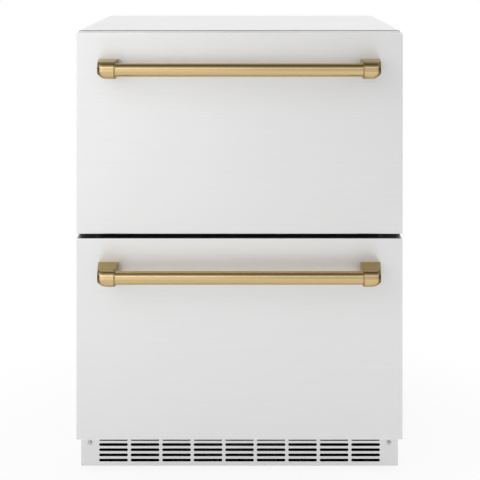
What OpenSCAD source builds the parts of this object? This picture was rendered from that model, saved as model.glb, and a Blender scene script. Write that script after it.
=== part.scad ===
// Undercounter drawer refrigerator, two drawers on ball-bearing slides.
// Millimetres. The front faces -Y, +X is the right-hand side, +Z is up.
// The origin lies on the floor, under the middle of the whole appliance.

/* [Cabinet] */
// Width of the cabinet and of the drawer fronts
body_w = 597; // [560:1:720]
// Depth of the cabinet, from its front flange to its back
cabinet_d = 556; // [550:1:680]
// Height of the cabinet, from its underside to its top
cabinet_h = 822.5; // [800:0.5:1000]
// Underside above the floor, with the feet screwed in
foot_gap = 14; // [12:0.5:20]
// Insulated wall, from the outer face to the liner's inner face
wall_t = 38.5; // [34:0.5:46]
// Sheet thickness of the stainless wrapper
shell_t = 1; // [0.6:0.1:1.5]
// Outer radius of the folds in the stainless sheets
fold_r = 2; // [1.6:0.1:3]
// Thickness of the moulded liner
liner_t = 2.5; // [1.5:0.1:4]
// Thickness of the galvanised sheets
steel_t = 0.8; // [0.6:0.1:1.5]
// Height of the air space under the insulated box
plenum_h = 65; // [60:1:80]
// Depth of the compressor compartment
comp_d = 190; // [180:1:210]
// Height of the compressor compartment above the underside
comp_h = 236; // [225:1:250]
// Depth of the cooling duct behind the drawers
duct_d = 47; // [44:1:60]

/* [Drawer fronts] */
// Thickness of a drawer front
front_t = 38; // [30:1:50]
// Gap between the cabinet and a closed front, filled by the gasket
seal_gap = 8; // [6:0.5:12]
// Gap between the two drawer fronts
drawer_gap = 8; // [5:0.5:12]
// Step from the cabinet's top down to the upper front
top_gap = 1; // [0:0.5:4]
// Height of the toe space, from the underside to the lower front
toe_h = 77.5; // [72:0.5:100]
// Radius of the upper front's two top corners
crown_r = 5; // [2:0.5:8]
// Radius of the other corners of the fronts
corner_r = 2.5; // [2:0.5:6]

/* [Handles] */
// Overall length of a handle
handle_len = 506; // [300:1:540]
// How far a handle stands out from the face
handle_proj = 69; // [55:1:80]
// Diameter of the handle bar
bar_d = 24; // [16:0.5:28]
// Diameter of the round nose of a handle bracket
ferrule_d = 31.5; // [28:0.5:36]
// Width of a handle bracket
bracket_w = 32; // [26:1:40]
// How much wider a bracket stands on the face than at its nose
bracket_flare = 5; // [0:0.5:5]
// Upper handle's axis below the top edge of its front
upper_handle_drop = 64; // [40:1:120]
// Lower handle's axis below the top edge of its front
lower_handle_drop = 59; // [40:1:120]

/* [Toe grille] */
// Setback of the toe grille behind the drawer faces
grille_set = 80; // [70:1:90]
// Height of the toe grille
grille_h = 64; // [60:0.5:64.5]
// Number of slots in a row
slot_cols = 9; // [5:1:11]
// Number of rows of slots
slot_rows = 5; // [3:1:5]
// Length of a slot
slot_len = 54.3; // [30:0.1:56]
// Height of a slot
slot_h = 5.2; // [3:0.1:6]
// Distance from slot to slot along a row
slot_pitch = 59.4; // [58:0.1:62]
// Distance from row to row
row_pitch = 9.75; // [8:0.05:10.5]
// Lowest row above the grille's lower edge
first_row = 10.4; // [8:0.1:12]

/* [Slides] */
// Length of the rail on the cabinet
slide_len = 450; // [440:1:500]
// How far a drawer pulls out
drawer_travel = 430; // [300:1:430]
// Ball diameter
ball_d = 4; // [3.6:0.1:4.2]
// Sheet thickness of the rails
rail_t = 1.4; // [1:0.1:1.5]
// Balls in each row of a cage
ball_count = 5; // [3:1:6]
// Slide centre above the lower edge of the drawer front
slide_rise = 240; // [236:1:250]

/* [Bins] */
// Depth of a bin below its rim
bin_h = 250; // [200:1:252]
// Wall thickness of a bin
bin_t = 2.5; // [2:0.1:4]
// Radius of a bin's upright corners
bin_r = 18; // [8:1:30]

/* [Feet] */
// Diameter of a foot's thread
foot_stem_d = 10; // [8:0.5:12]
// How far a foot screws out
foot_travel = 20; // [10:1:20]

/* [Hidden] */

// Curve resolution, and a small overshoot for cuts
round_fn = 48;
cut = 1;

// Places along Y, from the handles back to the rear panel
total_d = handle_proj + front_t + seal_gap + cabinet_d;
y_back = total_d / 2;
y_cab = y_back - cabinet_d;
y_panel = y_cab - seal_gap;
y_face = y_panel - front_t;
y_bar = y_face - handle_proj + ferrule_d / 2;
y_grille = y_face + grille_set;
y_toe = y_grille + shell_t;
y_comp = y_back - comp_d;

// Places along Z
z_base = foot_gap;
z_top = z_base + cabinet_h;
z_plenum = z_base + plenum_h;
z_comp = z_base + comp_h;
front_h = (cabinet_h - toe_h - top_gap - drawer_gap) / 2;
z_lower = z_base + toe_h;
z_upper = z_lower + front_h + drawer_gap;

// The cold space inside the liner
cav_x = body_w / 2 - wall_t;
z_floor = z_plenum + wall_t + 0.5;
z_ceil = z_top - wall_t;
y_rear = y_back - 43.5;
step_wall = 39;
y_step = y_comp - step_wall;
z_step = z_comp + 37;
y_duct = y_rear - duct_d;

// The liner's rim round the front opening and the flange that it meets
rim_w = 4.5;
rim_t = 2;
flange_x = cav_x + rim_w;
toe_flange_w = 30;

// Cross rails
rail_depth = 30;
rail_sheet = 1.2;
mullion_h = 44;
z_mullion = z_upper - drawer_gap / 2;

// From the liner's wall to the drawer's own plate
slide_pack = 13.3;

// Drawer front details: the moulded plug clears the rails, the floor and the ceiling
plug_side = slide_pack + 3.7;
plug_rise = 5.5;
plug_fall = 4.5;
plug_low = max(z_floor - z_lower, mullion_h / 2 - drawer_gap / 2) + plug_rise;
plug_high = z_top - top_gap - z_ceil + plug_fall;
plug_depth = 16.5;
plug_r = 14;
panel_t = 2;
gasket_w = 12;
gasket_inset = 4;
gasket_gap = 0.3;
y_plug = y_panel + plug_depth;

// Slide section: u runs from the liner's wall towards the drawer, v is height
groove_gap = 0.25;
groove_r = ball_d / 2 + groove_gap;
curl_r = groove_r + rail_t;
outer_ball_u = 6;
outer_ball_v = 18.8;
inner_ball_u = 9;
inner_ball_v = 11.4;
middle_web_u = 2.9;
lip_cut = 0.8;
cage_t = 0.5;
outer_cage_u = 1.6;
inner_cage_u = 4.6;
cage_reach = 1.6;
cage_strip = 0.6;
rail_front = 6.5;
middle_short = 5;
drawer_short = 15;
y_rail = y_cab + rail_front;
y_rail_end = y_rail + slide_len;
cage_spare = 35;
cage_len = slide_len - drawer_travel / 2 - cage_spare;
y_cage = (y_rail + y_rail_end) / 2 - 3;
ball_pitch = 44;

// Bin frame and bins
frame_t = 1.8;
frame_below = 16;
frame_above = 45;
frame_lip = 12;
frame_slots = 4;
frame_slot_len = 60;
frame_slot_h = 14;
frame_slot_rise = 26;
frame_x = cav_x - slide_pack;
y_frame_end = y_rail_end - 11;
bin_gap = 0.6;
bin_x = frame_x - frame_t - frame_lip - bin_gap;
y_bin = y_plug + frame_t + frame_lip + bin_gap;
y_bin_end = y_frame_end - frame_t - frame_lip - bin_gap;
bin_rim = 10;
bin_rim_t = 2.5;
step_gap = 10;
shallow_h = 77;

// Fans, evaporator and lines
evap_x = cav_x - 70;
fin_count = 20;
z_fan = z_ceil - 46;
fan_r = 40;
y_fan = y_duct + 18;
shaft_r = 2;
shaft_gap = 0.05;
line_x = cav_x - 45;
line_y = y_rear - 20;
line_r = 4;
drain_x = -line_x;
drain_r = 8;
pass_gap = 0.4;

// Compressor compartment
comp_floor = z_base + rail_sheet;
comp_cx = body_w / 2 - 133.5;
comp_cy = y_comp + 96;
comp_r = 68;
comp_shell_h = 150;
seam_h = 62;
port_y = comp_cy + 20;
foot_plate_x = 84;
foot_plate_y = 56;
foot_plate_t = 4;
grommet_x = 72;
grommet_y = 44;
grommet_h = 10;
grommet_neck_r = 5.3;
port_z = comp_floor + grommet_h + seam_h + 20;
port_reach = 12;
cond_fan_r = 66;
cond_x = -body_w / 2 + 60;
cond_w = 44;
cond_half_d = 68;
cond_runs = 7;
cond_pitch = 22;
shroud_x = cond_x + cond_w + 18;
shroud_h = 172;
shroud_half_d = 76;
cond_cy = y_comp + 95;
cond_cz = comp_floor + 96;
y_cover = y_back - 3.5;

// Feet
foot_x = body_w / 2 - 30;
y_foot_front = y_grille + 57;
y_foot_rear = y_back - 45;
foot_r = 18;
foot_pad_h = 6;
foot_nut_h = 4;
foot_nut_r = 8.5;
stem_spare = 14;
stem_top = z_base + foot_travel + stem_spare;
boss_r = 9;
boss_top = z_base + 21;
pan_rim_h = 16;
foot_fit = 0.05;

function arc(cx, cy, r, a0, a1, n = 6) =
    [for (i = [0:n]) [cx + r * cos(a0 + (a1 - a0) * i / n), cy + r * sin(a0 + (a1 - a0) * i / n)]];

// A rectangle with its own radius at each corner: low-left, low-right, top-right, top-left
function rounded_rect(x0, y0, x1, y1, r) = concat(
    arc(x0 + r[0], y0 + r[0], r[0], 180, 270),
    arc(x1 - r[1], y0 + r[1], r[1], 270, 360),
    arc(x1 - r[2], y1 - r[2], r[2], 0, 90),
    arc(x0 + r[3], y1 - r[3], r[3], 90, 180)
);

function slot_outline(cx, cy, len, h) = concat(
    arc(cx + (len - h) / 2, cy, h / 2, -90, 90),
    arc(cx - (len - h) / 2, cy, h / 2, 90, 270)
);

// A flat outline with slots cut in it
module slotted(outline, slots) {
    outlines = concat([outline], slots);
    starts = [for (i = 0, n = 0; i < len(outlines); n = n + len(outlines[i]), i = i + 1) n];
    polygon(
        [for (points = outlines) each points],
        [for (i = [0:len(outlines) - 1]) [for (k = [0:len(outlines[i]) - 1]) starts[i] + k]]
    );
}

// Extrudes an X-Z outline along Y, and a Y-Z outline along X
module along_y(y0, y1) {
    translate([0, y1, 0])
        rotate([90, 0, 0])
            linear_extrude(y1 - y0)
                children();
}

module along_x(x0, x1) {
    translate([x0, 0, 0])
        rotate([90, 0, 90])
            linear_extrude(x1 - x0)
                children();
}

module box(x0, x1, y0, y1, z0, z1) {
    translate([x0, y0, z0])
        cube([x1 - x0, y1 - y0, z1 - z0]);
}

module rod_x(x0, x1, y, z, r) {
    translate([x0, y, z])
        rotate([0, 90, 0])
            cylinder(h = x1 - x0, r = r, $fn = round_fn);
}

module rod_y(x, y0, y1, z, r) {
    translate([x, y1, z])
        rotate([90, 0, 0])
            cylinder(h = y1 - y0, r = r, $fn = round_fn);
}

module rod_z(x, y, z0, z1, r) {
    translate([x, y, z0])
        cylinder(h = z1 - z0, r = r, $fn = round_fn);
}

// Both sides of the appliance
module both_sides() {
    children();
    mirror([1, 0, 0])
        children();
}

// ---- Cabinet ----

function shell_outline(inset) = let (
    x = body_w / 2 - inset,
    r = fold_r - inset,
    low = inset > 0 ? z_base - cut : z_base
) concat(
    [[-x, low], [x, low]],
    arc(x - r, z_top - inset - r, r, 0, 90),
    arc(-x + r, z_top - inset - r, r, 90, 180)
);

// The cold space in Y-Z, grown by a wall
function cavity_outline(grow) = [
    [y_cab - cut, z_floor - grow],
    [y_step + grow, z_floor - grow],
    [y_step + grow, z_step - grow],
    [y_rear + grow, z_step - grow],
    [y_rear + grow, z_ceil + grow],
    [y_cab - cut, z_ceil + grow]
];

module toe_screw_places() {
    for (x = [-1, 1])
        translate([x * (body_w / 2 - 16.8), y_toe, z_base + 43.8])
            children();
}

module outer_wrapper() {
    color("gainsboro")
        difference() {
            union() {
                difference() {
                    along_y(y_cab, y_back) polygon(shell_outline(0));
                    along_y(y_cab - cut, y_back + cut) polygon(shell_outline(shell_t));
                    box(-body_w, body_w, y_cab - cut, y_toe, z_base - cut, z_plenum);
                }
                difference() {
                    along_y(y_cab, y_cab + shell_t) polygon(shell_outline(0));
                    box(-flange_x, flange_x, y_cab - cut, y_toe, z_base - cut, z_ceil + rim_w);
                    box(-body_w, body_w, y_cab - cut, y_toe, z_base - cut, z_plenum);
                }
                both_sides()
                    box(body_w / 2 - toe_flange_w, body_w / 2, y_toe, y_toe + shell_t, z_base, z_plenum);
            }
            toe_screw_places()
                rod_y(0, -cut, shell_t + cut, 0, 1.5);
        }
}

module back_panel() {
    front = y_cab + rail_depth;
    color("lightsteelblue")
        difference() {
            along_x(-body_w / 2 + shell_t, body_w / 2 - shell_t)
                polygon([
                    [front, z_plenum], [y_comp, z_plenum], [y_comp, z_comp], [y_back, z_comp],
                    [y_back, z_top - fold_r], [y_back - steel_t, z_top - fold_r],
                    [y_back - steel_t, z_comp + steel_t], [y_comp - steel_t, z_comp + steel_t],
                    [y_comp - steel_t, z_plenum + steel_t], [front, z_plenum + steel_t]
                ]);
            line_holes();
        }
}

// Bores through the compartment's ceiling for the suction line and the drain
module line_holes() {
    rod_z(line_x, line_y, z_comp - cut, z_step + cut, line_r + pass_gap);
    rod_z(drain_x, line_y, z_comp - cut, z_step + cut, drain_r + pass_gap);
}

module cabinet_foam() {
    color("khaki")
        difference() {
            intersection() {
                along_x(-body_w / 2 + shell_t, body_w / 2 - shell_t)
                    polygon([
                        [y_cab + shell_t, z_plenum + steel_t], [y_comp - steel_t, z_plenum + steel_t],
                        [y_comp - steel_t, z_comp + steel_t], [y_back - steel_t, z_comp + steel_t],
                        [y_back - steel_t, z_top - shell_t], [y_cab + shell_t, z_top - shell_t]
                    ]);
                along_y(y_cab, y_back) polygon(shell_outline(shell_t));
            }
            along_x(-cav_x - liner_t, cav_x + liner_t) polygon(cavity_outline(liner_t));
            box(-flange_x, flange_x, y_cab, y_cab + rim_t, z_plenum, z_ceil + rim_w);
            box(-flange_x, flange_x, y_cab, y_cab + rail_depth, z_plenum, z_floor - rim_w);
            line_holes();
        }
}

module inner_liner() {
    color("white")
        difference() {
            union() {
                intersection() {
                    along_x(-cav_x - liner_t, cav_x + liner_t) polygon(cavity_outline(liner_t));
                    box(-body_w, body_w, y_cab, y_back, 0, z_top);
                }
                box(-flange_x, flange_x, y_cab, y_cab + rim_t, z_floor - rim_w, z_ceil + rim_w);
            }
            along_x(-cav_x, cav_x) polygon(cavity_outline(0));
            line_holes();
        }
}

module cross_rail(half_w, z0, z1) {
    difference() {
        box(-half_w, half_w, y_cab, y_cab + rail_depth, z0, z1);
        box(-half_w + rail_sheet, half_w - rail_sheet, y_cab + rail_sheet, y_cab + rail_depth + cut,
            z0 + rail_sheet, z1 - rail_sheet);
    }
}

module cross_rails() {
    color("silver") {
        cross_rail(cav_x, z_mullion - mullion_h / 2, z_mullion + mullion_h / 2);
        cross_rail(flange_x, z_plenum, z_floor - rim_w);
    }
}

module base_pan() {
    x = body_w / 2 - shell_t;
    y0 = y_toe + 12;
    y1 = y_cover;
    color("slategray")
        difference() {
            union() {
                difference() {
                    box(-x, x, y0, y1, z_base, z_base + pan_rim_h);
                    box(-x + rail_sheet, x - rail_sheet, y0 + rail_sheet, y1 - rail_sheet,
                        comp_floor, z_base + pan_rim_h + cut);
                }
                foot_places()
                    rod_z(0, 0, z_base, boss_top, boss_r);
            }
            foot_places()
                rod_z(0, 0, z_base - cut, boss_top + cut, foot_stem_d / 2 + foot_fit);
        }
}

module foot_places() {
    for (x = [-foot_x, foot_x])
        for (y = [y_foot_front, y_foot_rear])
            translate([x, y, 0])
                children();
}

module toe_grille() {
    slots = [
        for (row = [0:slot_rows - 1])
            for (col = [0:slot_cols - 1])
                slot_outline(
                    (col - (slot_cols - 1) / 2) * slot_pitch,
                    z_base + first_row + row * row_pitch,
                    slot_len,
                    slot_h
                )
    ];
    inner = body_w / 2 - toe_flange_w - 2;
    color("lightgray")
        difference() {
            union() {
                along_y(y_grille, y_toe)
                    slotted(
                        rounded_rect(-body_w / 2, z_base, body_w / 2, z_base + grille_h, [3, 3, 0.5, 0.5]),
                        slots
                    );
                box(-inner, inner, y_grille + shell_t / 2, y_toe + 10, z_base, z_base + shell_t);
                box(-inner, inner, y_grille + shell_t / 2, y_toe + 10,
                    z_base + grille_h - shell_t, z_base + grille_h);
            }
            toe_screw_places()
                rod_y(0, -shell_t - cut, cut, 0, 2.2);
        }
}

// A pan-head sheet screw whose head seats at y = 0 and points to -Y
module sheet_screw(len) {
    rod_y(0, -0.2, len, 0, 1.5);
    difference() {
        intersection() {
            rod_y(0, -1.8, 0, 0, 3.2);
            translate([0, 2.2, 0])
                sphere(r = 4.2, $fn = round_fn);
        }
        box(-2.2, 2.2, -3, -1.2, -0.35, 0.35);
        box(-0.35, 0.35, -3, -1.2, -2.2, 2.2);
    }
}

module cover_screw_places() {
    for (x = [-1, 1])
        for (z = [z_base + 25, z_comp - 25])
            translate([x * (body_w / 2 - 20), y_cover + 1, z])
                children();
}

module panel_screws() {
    color("dimgray") {
        toe_screw_places()
            translate([0, -shell_t, 0])
                sheet_screw(9);
        cover_screw_places()
            mirror([0, 1, 0])
                sheet_screw(6);
    }
}

module rear_service_cover() {
    x = body_w / 2 - shell_t;
    side_margin = 52.5;
    vent_cols = 7;
    vent_rows = 9;
    vent_h = 6;
    bridge = 18;
    pitch = (2 * x - 2 * side_margin) / vent_cols;
    first = 45;
    rise = (comp_h - first - 31) / (vent_rows - 1);
    // No vents round the power inlet
    slots = [
        for (row = [0:vent_rows - 1])
            for (col = [0:vent_cols - 1])
                if (col < vent_cols - 2 || row * rise > inlet_z - z_base - first + inlet_h)
                    slot_outline(
                        (col - (vent_cols - 1) / 2) * pitch,
                        z_base + first + row * rise,
                        pitch - bridge,
                        vent_h
                    )
    ];
    color("lightsteelblue")
        difference() {
            union() {
                along_y(y_cover, y_cover + 1)
                    slotted(rounded_rect(-x, z_base, x, z_comp, [2, 2, 2, 2]), slots);
                both_sides()
                    box(x - 1, x, y_cover - 12, y_cover + 0.5, z_base + 20, z_comp - 4);
            }
            inlet_window(0.3);
            cover_screw_places()
                rod_y(0, -2 - cut, cut, 0, 1.8);
        }
}

// The power inlet sits low on the right of the rear cover
inlet_w = 27;
inlet_h = 20;
inlet_x = body_w / 2 - 98.5;
inlet_z = z_base + 60;
inlet_flange = 4;
inlet_wall = 2;

module inlet_window(gap) {
    box(inlet_x - inlet_w / 2 - gap, inlet_x + inlet_w / 2 + gap, y_cover - 30, y_cover + 5,
        inlet_z - inlet_h / 2 - gap, inlet_z + inlet_h / 2 + gap);
}

module power_inlet() {
    color("black")
        difference() {
            union() {
                box(inlet_x - inlet_w / 2, inlet_x + inlet_w / 2, y_cover - 22, y_cover + 1,
                    inlet_z - inlet_h / 2, inlet_z + inlet_h / 2);
                box(inlet_x - inlet_w / 2 - inlet_flange, inlet_x + inlet_w / 2 + inlet_flange,
                    y_cover + 1, y_cover + 3.5,
                    inlet_z - inlet_h / 2 - inlet_flange, inlet_z + inlet_h / 2 + inlet_flange);
            }
            // The well and its three pins, of which the middle one sits higher
            difference() {
                box(inlet_x - inlet_w / 2 + inlet_wall, inlet_x + inlet_w / 2 - inlet_wall,
                    y_cover - 16, y_cover + 4,
                    inlet_z - inlet_h / 2 + inlet_wall, inlet_z + inlet_h / 2 - inlet_wall);
                for (pin = [[-7, 0], [0, 3], [7, 0]])
                    box(inlet_x + pin[0] - 1, inlet_x + pin[0] + 1, y_cover - 17, y_cover,
                        inlet_z + pin[1] - 2, inlet_z + pin[1] + 2);
            }
        }
}

// ---- Feet ----

module foot(x, y) {
    color("dimgray")
        translate([x, y, 0])
            union() {
                rotate_extrude($fn = round_fn)
                    polygon(concat(
                        [[0, 0], [foot_r - 1, 0], [foot_r, 1], [foot_r, foot_pad_h - 2]],
                        [[foot_r - 5, foot_pad_h], [0, foot_pad_h]]
                    ));
                translate([0, 0, foot_pad_h])
                    cylinder(h = foot_nut_h, r = foot_nut_r, $fn = 6);
                rod_z(0, 0, foot_pad_h + foot_nut_h, stem_top, foot_stem_d / 2);
            }
}

module foot_front_left() { foot(-foot_x, y_foot_front); }
module foot_front_right() { foot(foot_x, y_foot_front); }
module foot_rear_left() { foot(-foot_x, y_foot_rear); }
module foot_rear_right() { foot(foot_x, y_foot_rear); }

// ---- Cold air ----

module evaporator_cover() {
    fit = 0.3;
    x = cav_x - fit;
    t = 2.5;
    z0 = z_step + fit;
    z1 = z_ceil - fit;
    y1 = y_rear - fit;
    // Rows of intake slots below, and a round grid of slots before the fan
    intake_cols = 7;
    intake_rows = 4;
    intake_rise = 22;
    intake_pitch = 12;
    intake_h = 5;
    side_margin = 28.7;
    bridge = 16;
    pitch = (2 * x - 2 * side_margin) / intake_cols;
    intake = [
        for (row = [0:intake_rows - 1])
            for (col = [0:intake_cols - 1])
                slot_outline(
                    (col - (intake_cols - 1) / 2) * pitch,
                    z0 + intake_rise + row * intake_pitch,
                    pitch - bridge,
                    intake_h
                )
    ];
    grid_r = fan_r - 2;
    grid_pitch = 11;
    outlet = [
        for (row = [-3:3])
            let (drop = row * grid_pitch)
                slot_outline(0, z_fan + drop, 2 * sqrt(pow(grid_r, 2) - pow(drop, 2)) + 4, 6)
    ];
    rib_x = 120;
    rib_low = intake_rise + 52;
    rib_high = 96;
    trough_h = 10;
    color("whitesmoke")
        union() {
            along_y(y_duct, y_duct + t)
                slotted(rounded_rect(-x, z0, x, z1, [4, 4, 4, 4]), concat(intake, outlet));
            both_sides()
                box(x - t, x, y_duct + 1, y1, z0 + 6, z1 - 6);
            for (rib = [-rib_x, rib_x])
                box(rib - 1, rib + 1, y_duct + 1, y_duct + 7, z0 + rib_low, z1 - rib_high);
            // Drip trough under the evaporator
            difference() {
                box(-x + 1, x - 1, y_duct + 1, y1, z0 + 4, z0 + 4 + trough_h);
                box(-x + t, x - t, y_duct + 4, y1 - t, z0 + 6, z0 + 4 + trough_h + cut);
                rod_z(line_x, line_y, z0, z0 + 2 * trough_h, line_r + pass_gap + 1);
                rod_z(drain_x, line_y, z0, z0 + 2 * trough_h, drain_r + pass_gap);
            }
        }
}

// Straight runs along X, stacked upwards from z0, whose ends sit in half-round return bends
module serpentine(half_len, y, z0, runs, pitch, r) {
    socket = 1.5;
    belling = 0.4;
    for (i = [0:runs - 1])
        rod_x(-half_len - socket, half_len + socket, y, z0 + i * pitch, r);
    for (i = [0:runs - 2])
        translate([(i % 2 == 0 ? 1 : -1) * half_len, y, z0 + (i + 0.5) * pitch])
            rotate([90, i % 2 == 0 ? -90 : 90, 0])
                rotate_extrude(angle = 180, $fn = round_fn)
                    translate([pitch / 2, 0])
                        circle(r = r + belling, $fn = 24);
}

module evaporator_coil() {
    y = (y_duct + y_rear) / 2 + 2;
    z0 = z_step + 215;
    runs = 6;
    pitch = 30;
    z1 = z0 + (runs - 1) * pitch;
    fin_half_d = 14;
    fin_over = 12;
    fin_t = 0.8;
    end_gap = 8;
    plate_t = 2;
    color("lightgray")
        union() {
            serpentine(evap_x, y, z0, runs, pitch, line_r);
            for (i = [0:fin_count - 1])
                translate([-evap_x + end_gap + i * 2 * (evap_x - end_gap) / (fin_count - 1), 0, 0])
                    box(-fin_t / 2, fin_t / 2, y - fin_half_d, y + fin_half_d, z0 - fin_over, z1 + fin_over);
            for (x = [-evap_x, evap_x])
                box(x - plate_t / 2, x + plate_t / 2, y_duct + 3, y_rear - 0.3,
                    z0 - fin_over - plate_t, z1 + fin_over + plate_t);
        }
}

// A propeller fan along +Y from y = 0, with its shaft
module fan_rotor(r, hub_r, depth, blades, shaft_len) {
    rod_y(0, 0, depth, 0, hub_r);
    rod_y(0, depth - 1, depth + shaft_len, 0, shaft_r);
    intersection() {
        difference() {
            rod_y(0, 0.5, depth - 0.5, 0, r);
            rod_y(0, 0, depth, 0, hub_r - 1);
        }
        union() {
            for (i = [0:blades - 1])
                rotate([0, i * 360 / blades, 0])
                    rotate([0, 0, 28])
                        translate([0, depth / 2, 0])
                            box(-hub_r * 1.6, hub_r * 1.6, -0.9, 0.9, hub_r / 2, r + 5);
        }
    }
}

fan_d = 12;

module evaporator_fan() {
    color("dimgray")
        translate([0, y_fan, z_fan])
            fan_rotor(fan_r, 14, fan_d, 5, 9);
}

// Motor on a bracket with three arms
module evaporator_fan_mount() {
    y0 = y_fan + fan_d + 1.2;
    y1 = y_rear - 0.3;
    motor_r = 15;
    arm_half_w = 5;
    arm_t = 3;
    color("silver")
        difference() {
            union() {
                rod_y(0, y0, y1, z_fan, motor_r);
                for (a = [-35, 35, 180])
                    translate([0, 0, z_fan])
                        rotate([0, a, 0])
                            box(-arm_half_w, arm_half_w, y1 - arm_t, y1, motor_r - 3, fan_r + 2);
            }
            rod_y(0, y0 - cut, y0 + 9, z_fan, shaft_r + shaft_gap);
        }
}

// Housing under the ceiling with a display window and four touch buttons, and a lamp lens behind it
module control_module() {
    x = 130;
    y0 = y_cab + 16;
    y1 = y0 + 82;
    z1 = z_ceil;
    front_drop = 14;
    rear_drop = 16;
    touch_y = y0 + 20;
    touch_z = z1 - rear_drop - cut;
    touch_top = z1 - 13.2;
    window_half_d = 6;
    button_r = 6.5;
    button_pitch = 22;
    lens_gap = 0.3;
    lens_d = 13.7;
    lens_h = 9.2;
    lens_t = 1.5;
    color("white")
        difference() {
            along_x(-x, x)
                polygon(concat(
                    [[y1, z1], [y0 + 3, z1]],
                    arc(y0 + 3, z1 - front_drop + 3, 3, 180, 270),
                    arc(y1 - 6, z1 - rear_drop + 4, 4, -90, 0)
                ));
            box(20 - x, -10, touch_y - window_half_d, touch_y + window_half_d, touch_z, touch_top);
            for (i = [0:3])
                rod_z(30 + i * button_pitch, touch_y, touch_z, touch_top - 0.6, button_r);
        }
    color("lightcyan")
        translate([0, y1 + lens_gap, z1 - lens_h])
            difference() {
                box(-x, x, 0, lens_d, 0, lens_h);
                box(-x + lens_t, x - lens_t, lens_t, lens_d - lens_t, lens_t, lens_h + cut);
            }
}

module condensate_drain() {
    pan_z = comp_floor + shroud_h;
    pan_x0 = cond_x - 4;
    pan_x1 = cond_x + 140;
    pan_y0 = cond_cy - shroud_half_d - 2;
    pan_y1 = line_y + 20;
    pan_h = 22;
    pan_t = 2;
    flange_w = 4;
    flange_t = 2;
    color("dimgray")
        difference() {
            union() {
                rod_z(drain_x, line_y, pan_z + pan_h - 6, z_step + flange_t + 1, drain_r);
                rod_z(drain_x, line_y, z_step, z_step + flange_t, drain_r + flange_w);
            }
            rod_z(drain_x, line_y, pan_z, z_step + 5, drain_r - pan_t);
        }
    color("black")
        difference() {
            box(pan_x0, pan_x1, pan_y0, pan_y1, pan_z, pan_z + pan_h);
            box(pan_x0 + pan_t, pan_x1 - pan_t, pan_y0 + pan_t, pan_y1 - pan_t,
                pan_z + pan_t, pan_z + pan_h + cut);
        }
}

// ---- Compressor compartment ----

module grommet_places() {
    for (x = [-1, 1])
        for (y = [-1, 1])
            translate([comp_cx + x * grommet_x, comp_cy + y * grommet_y, comp_floor])
                children();
}

module compressor() {
    z0 = comp_floor + grommet_h;
    mid = z0 + seam_h;
    port_end = comp_r + port_reach;
    top = z0 + comp_shell_h;
    low_dome_r = 24;
    top_dome_r = 30;
    seam_w = 4;
    y_box = comp_cy - comp_r;
    color("black")
        difference() {
            union() {
                translate([comp_cx, comp_cy, 0])
                    rotate_extrude($fn = round_fn)
                        polygon(concat(
                            [[0, z0 + 3]],
                            arc(comp_r - low_dome_r, z0 + 3 + low_dome_r, low_dome_r, -90, 0),
                            [[comp_r, mid - 3], [comp_r + seam_w, mid - 3]],
                            [[comp_r + seam_w, mid + 1], [comp_r - 2, mid + 1]],
                            arc(comp_r - 2 - top_dome_r, top - top_dome_r, top_dome_r, 0, 90),
                            [[0, top]]
                        ));
                difference() {
                    box(comp_cx - foot_plate_x, comp_cx + foot_plate_x,
                        comp_cy - foot_plate_y, comp_cy + foot_plate_y, z0, z0 + foot_plate_t);
                    grommet_places()
                        rod_z(0, 0, 0, 3 * grommet_h, grommet_neck_r + 0.2);
                }
                // Terminal box and its cover
                box(comp_cx - 22, comp_cx + 22, y_box - 16, y_box + 8, mid + 6, mid + 54);
                box(comp_cx - 19, comp_cx + 19, y_box - 19, y_box - 15, mid + 9, mid + 51);
                rod_x(comp_cx - port_end, comp_cx + port_end, port_y, port_z, line_r + 1);
            }
            for (x = [comp_cx - port_end - cut, comp_cx + comp_r - 4])
                rod_x(x, x + port_reach + 4 + cut, port_y, port_z, line_r + 0.1);
        }
}

module compressor_grommets() {
    color("darkslategray")
        grommet_places()
            rotate_extrude($fn = round_fn)
                polygon([
                    [3, 0], [9, 0], [10, 1], [10, grommet_h - 0.1],
                    [grommet_neck_r, grommet_h - 0.1], [grommet_neck_r, grommet_h + foot_plate_t + 0.1],
                    [8.5, grommet_h + foot_plate_t + 0.1], [8.5, grommet_h + 7], [3, grommet_h + 7]
                ]);
}

module condenser_coil() {
    half_d = cond_half_d;
    z0 = comp_floor + 22;
    z1 = z0 + (cond_runs - 1) * cond_pitch;
    fin_over = 10;
    fin_t = 0.6;
    end_gap = 5;
    plate_t = 2;
    color("dimgray")
        translate([cond_x + cond_w / 2, cond_cy, 0])
            rotate([0, 0, 90])
                union() {
                    serpentine(half_d, 0, z0, cond_runs, cond_pitch, line_r);
                    for (i = [0:fin_count - 1])
                        translate([-half_d + end_gap + i * 2 * (half_d - end_gap) / (fin_count - 1), 0, 0])
                            box(-fin_t / 2, fin_t / 2, -cond_w / 2 + 2, cond_w / 2 - 2,
                                z0 - fin_over, z1 + fin_over);
                    for (x = [-half_d, half_d])
                        box(x - plate_t / 2, x + plate_t / 2, -cond_w / 2, cond_w / 2,
                            comp_floor, z1 + fin_over + plate_t);
                }
}

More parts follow.
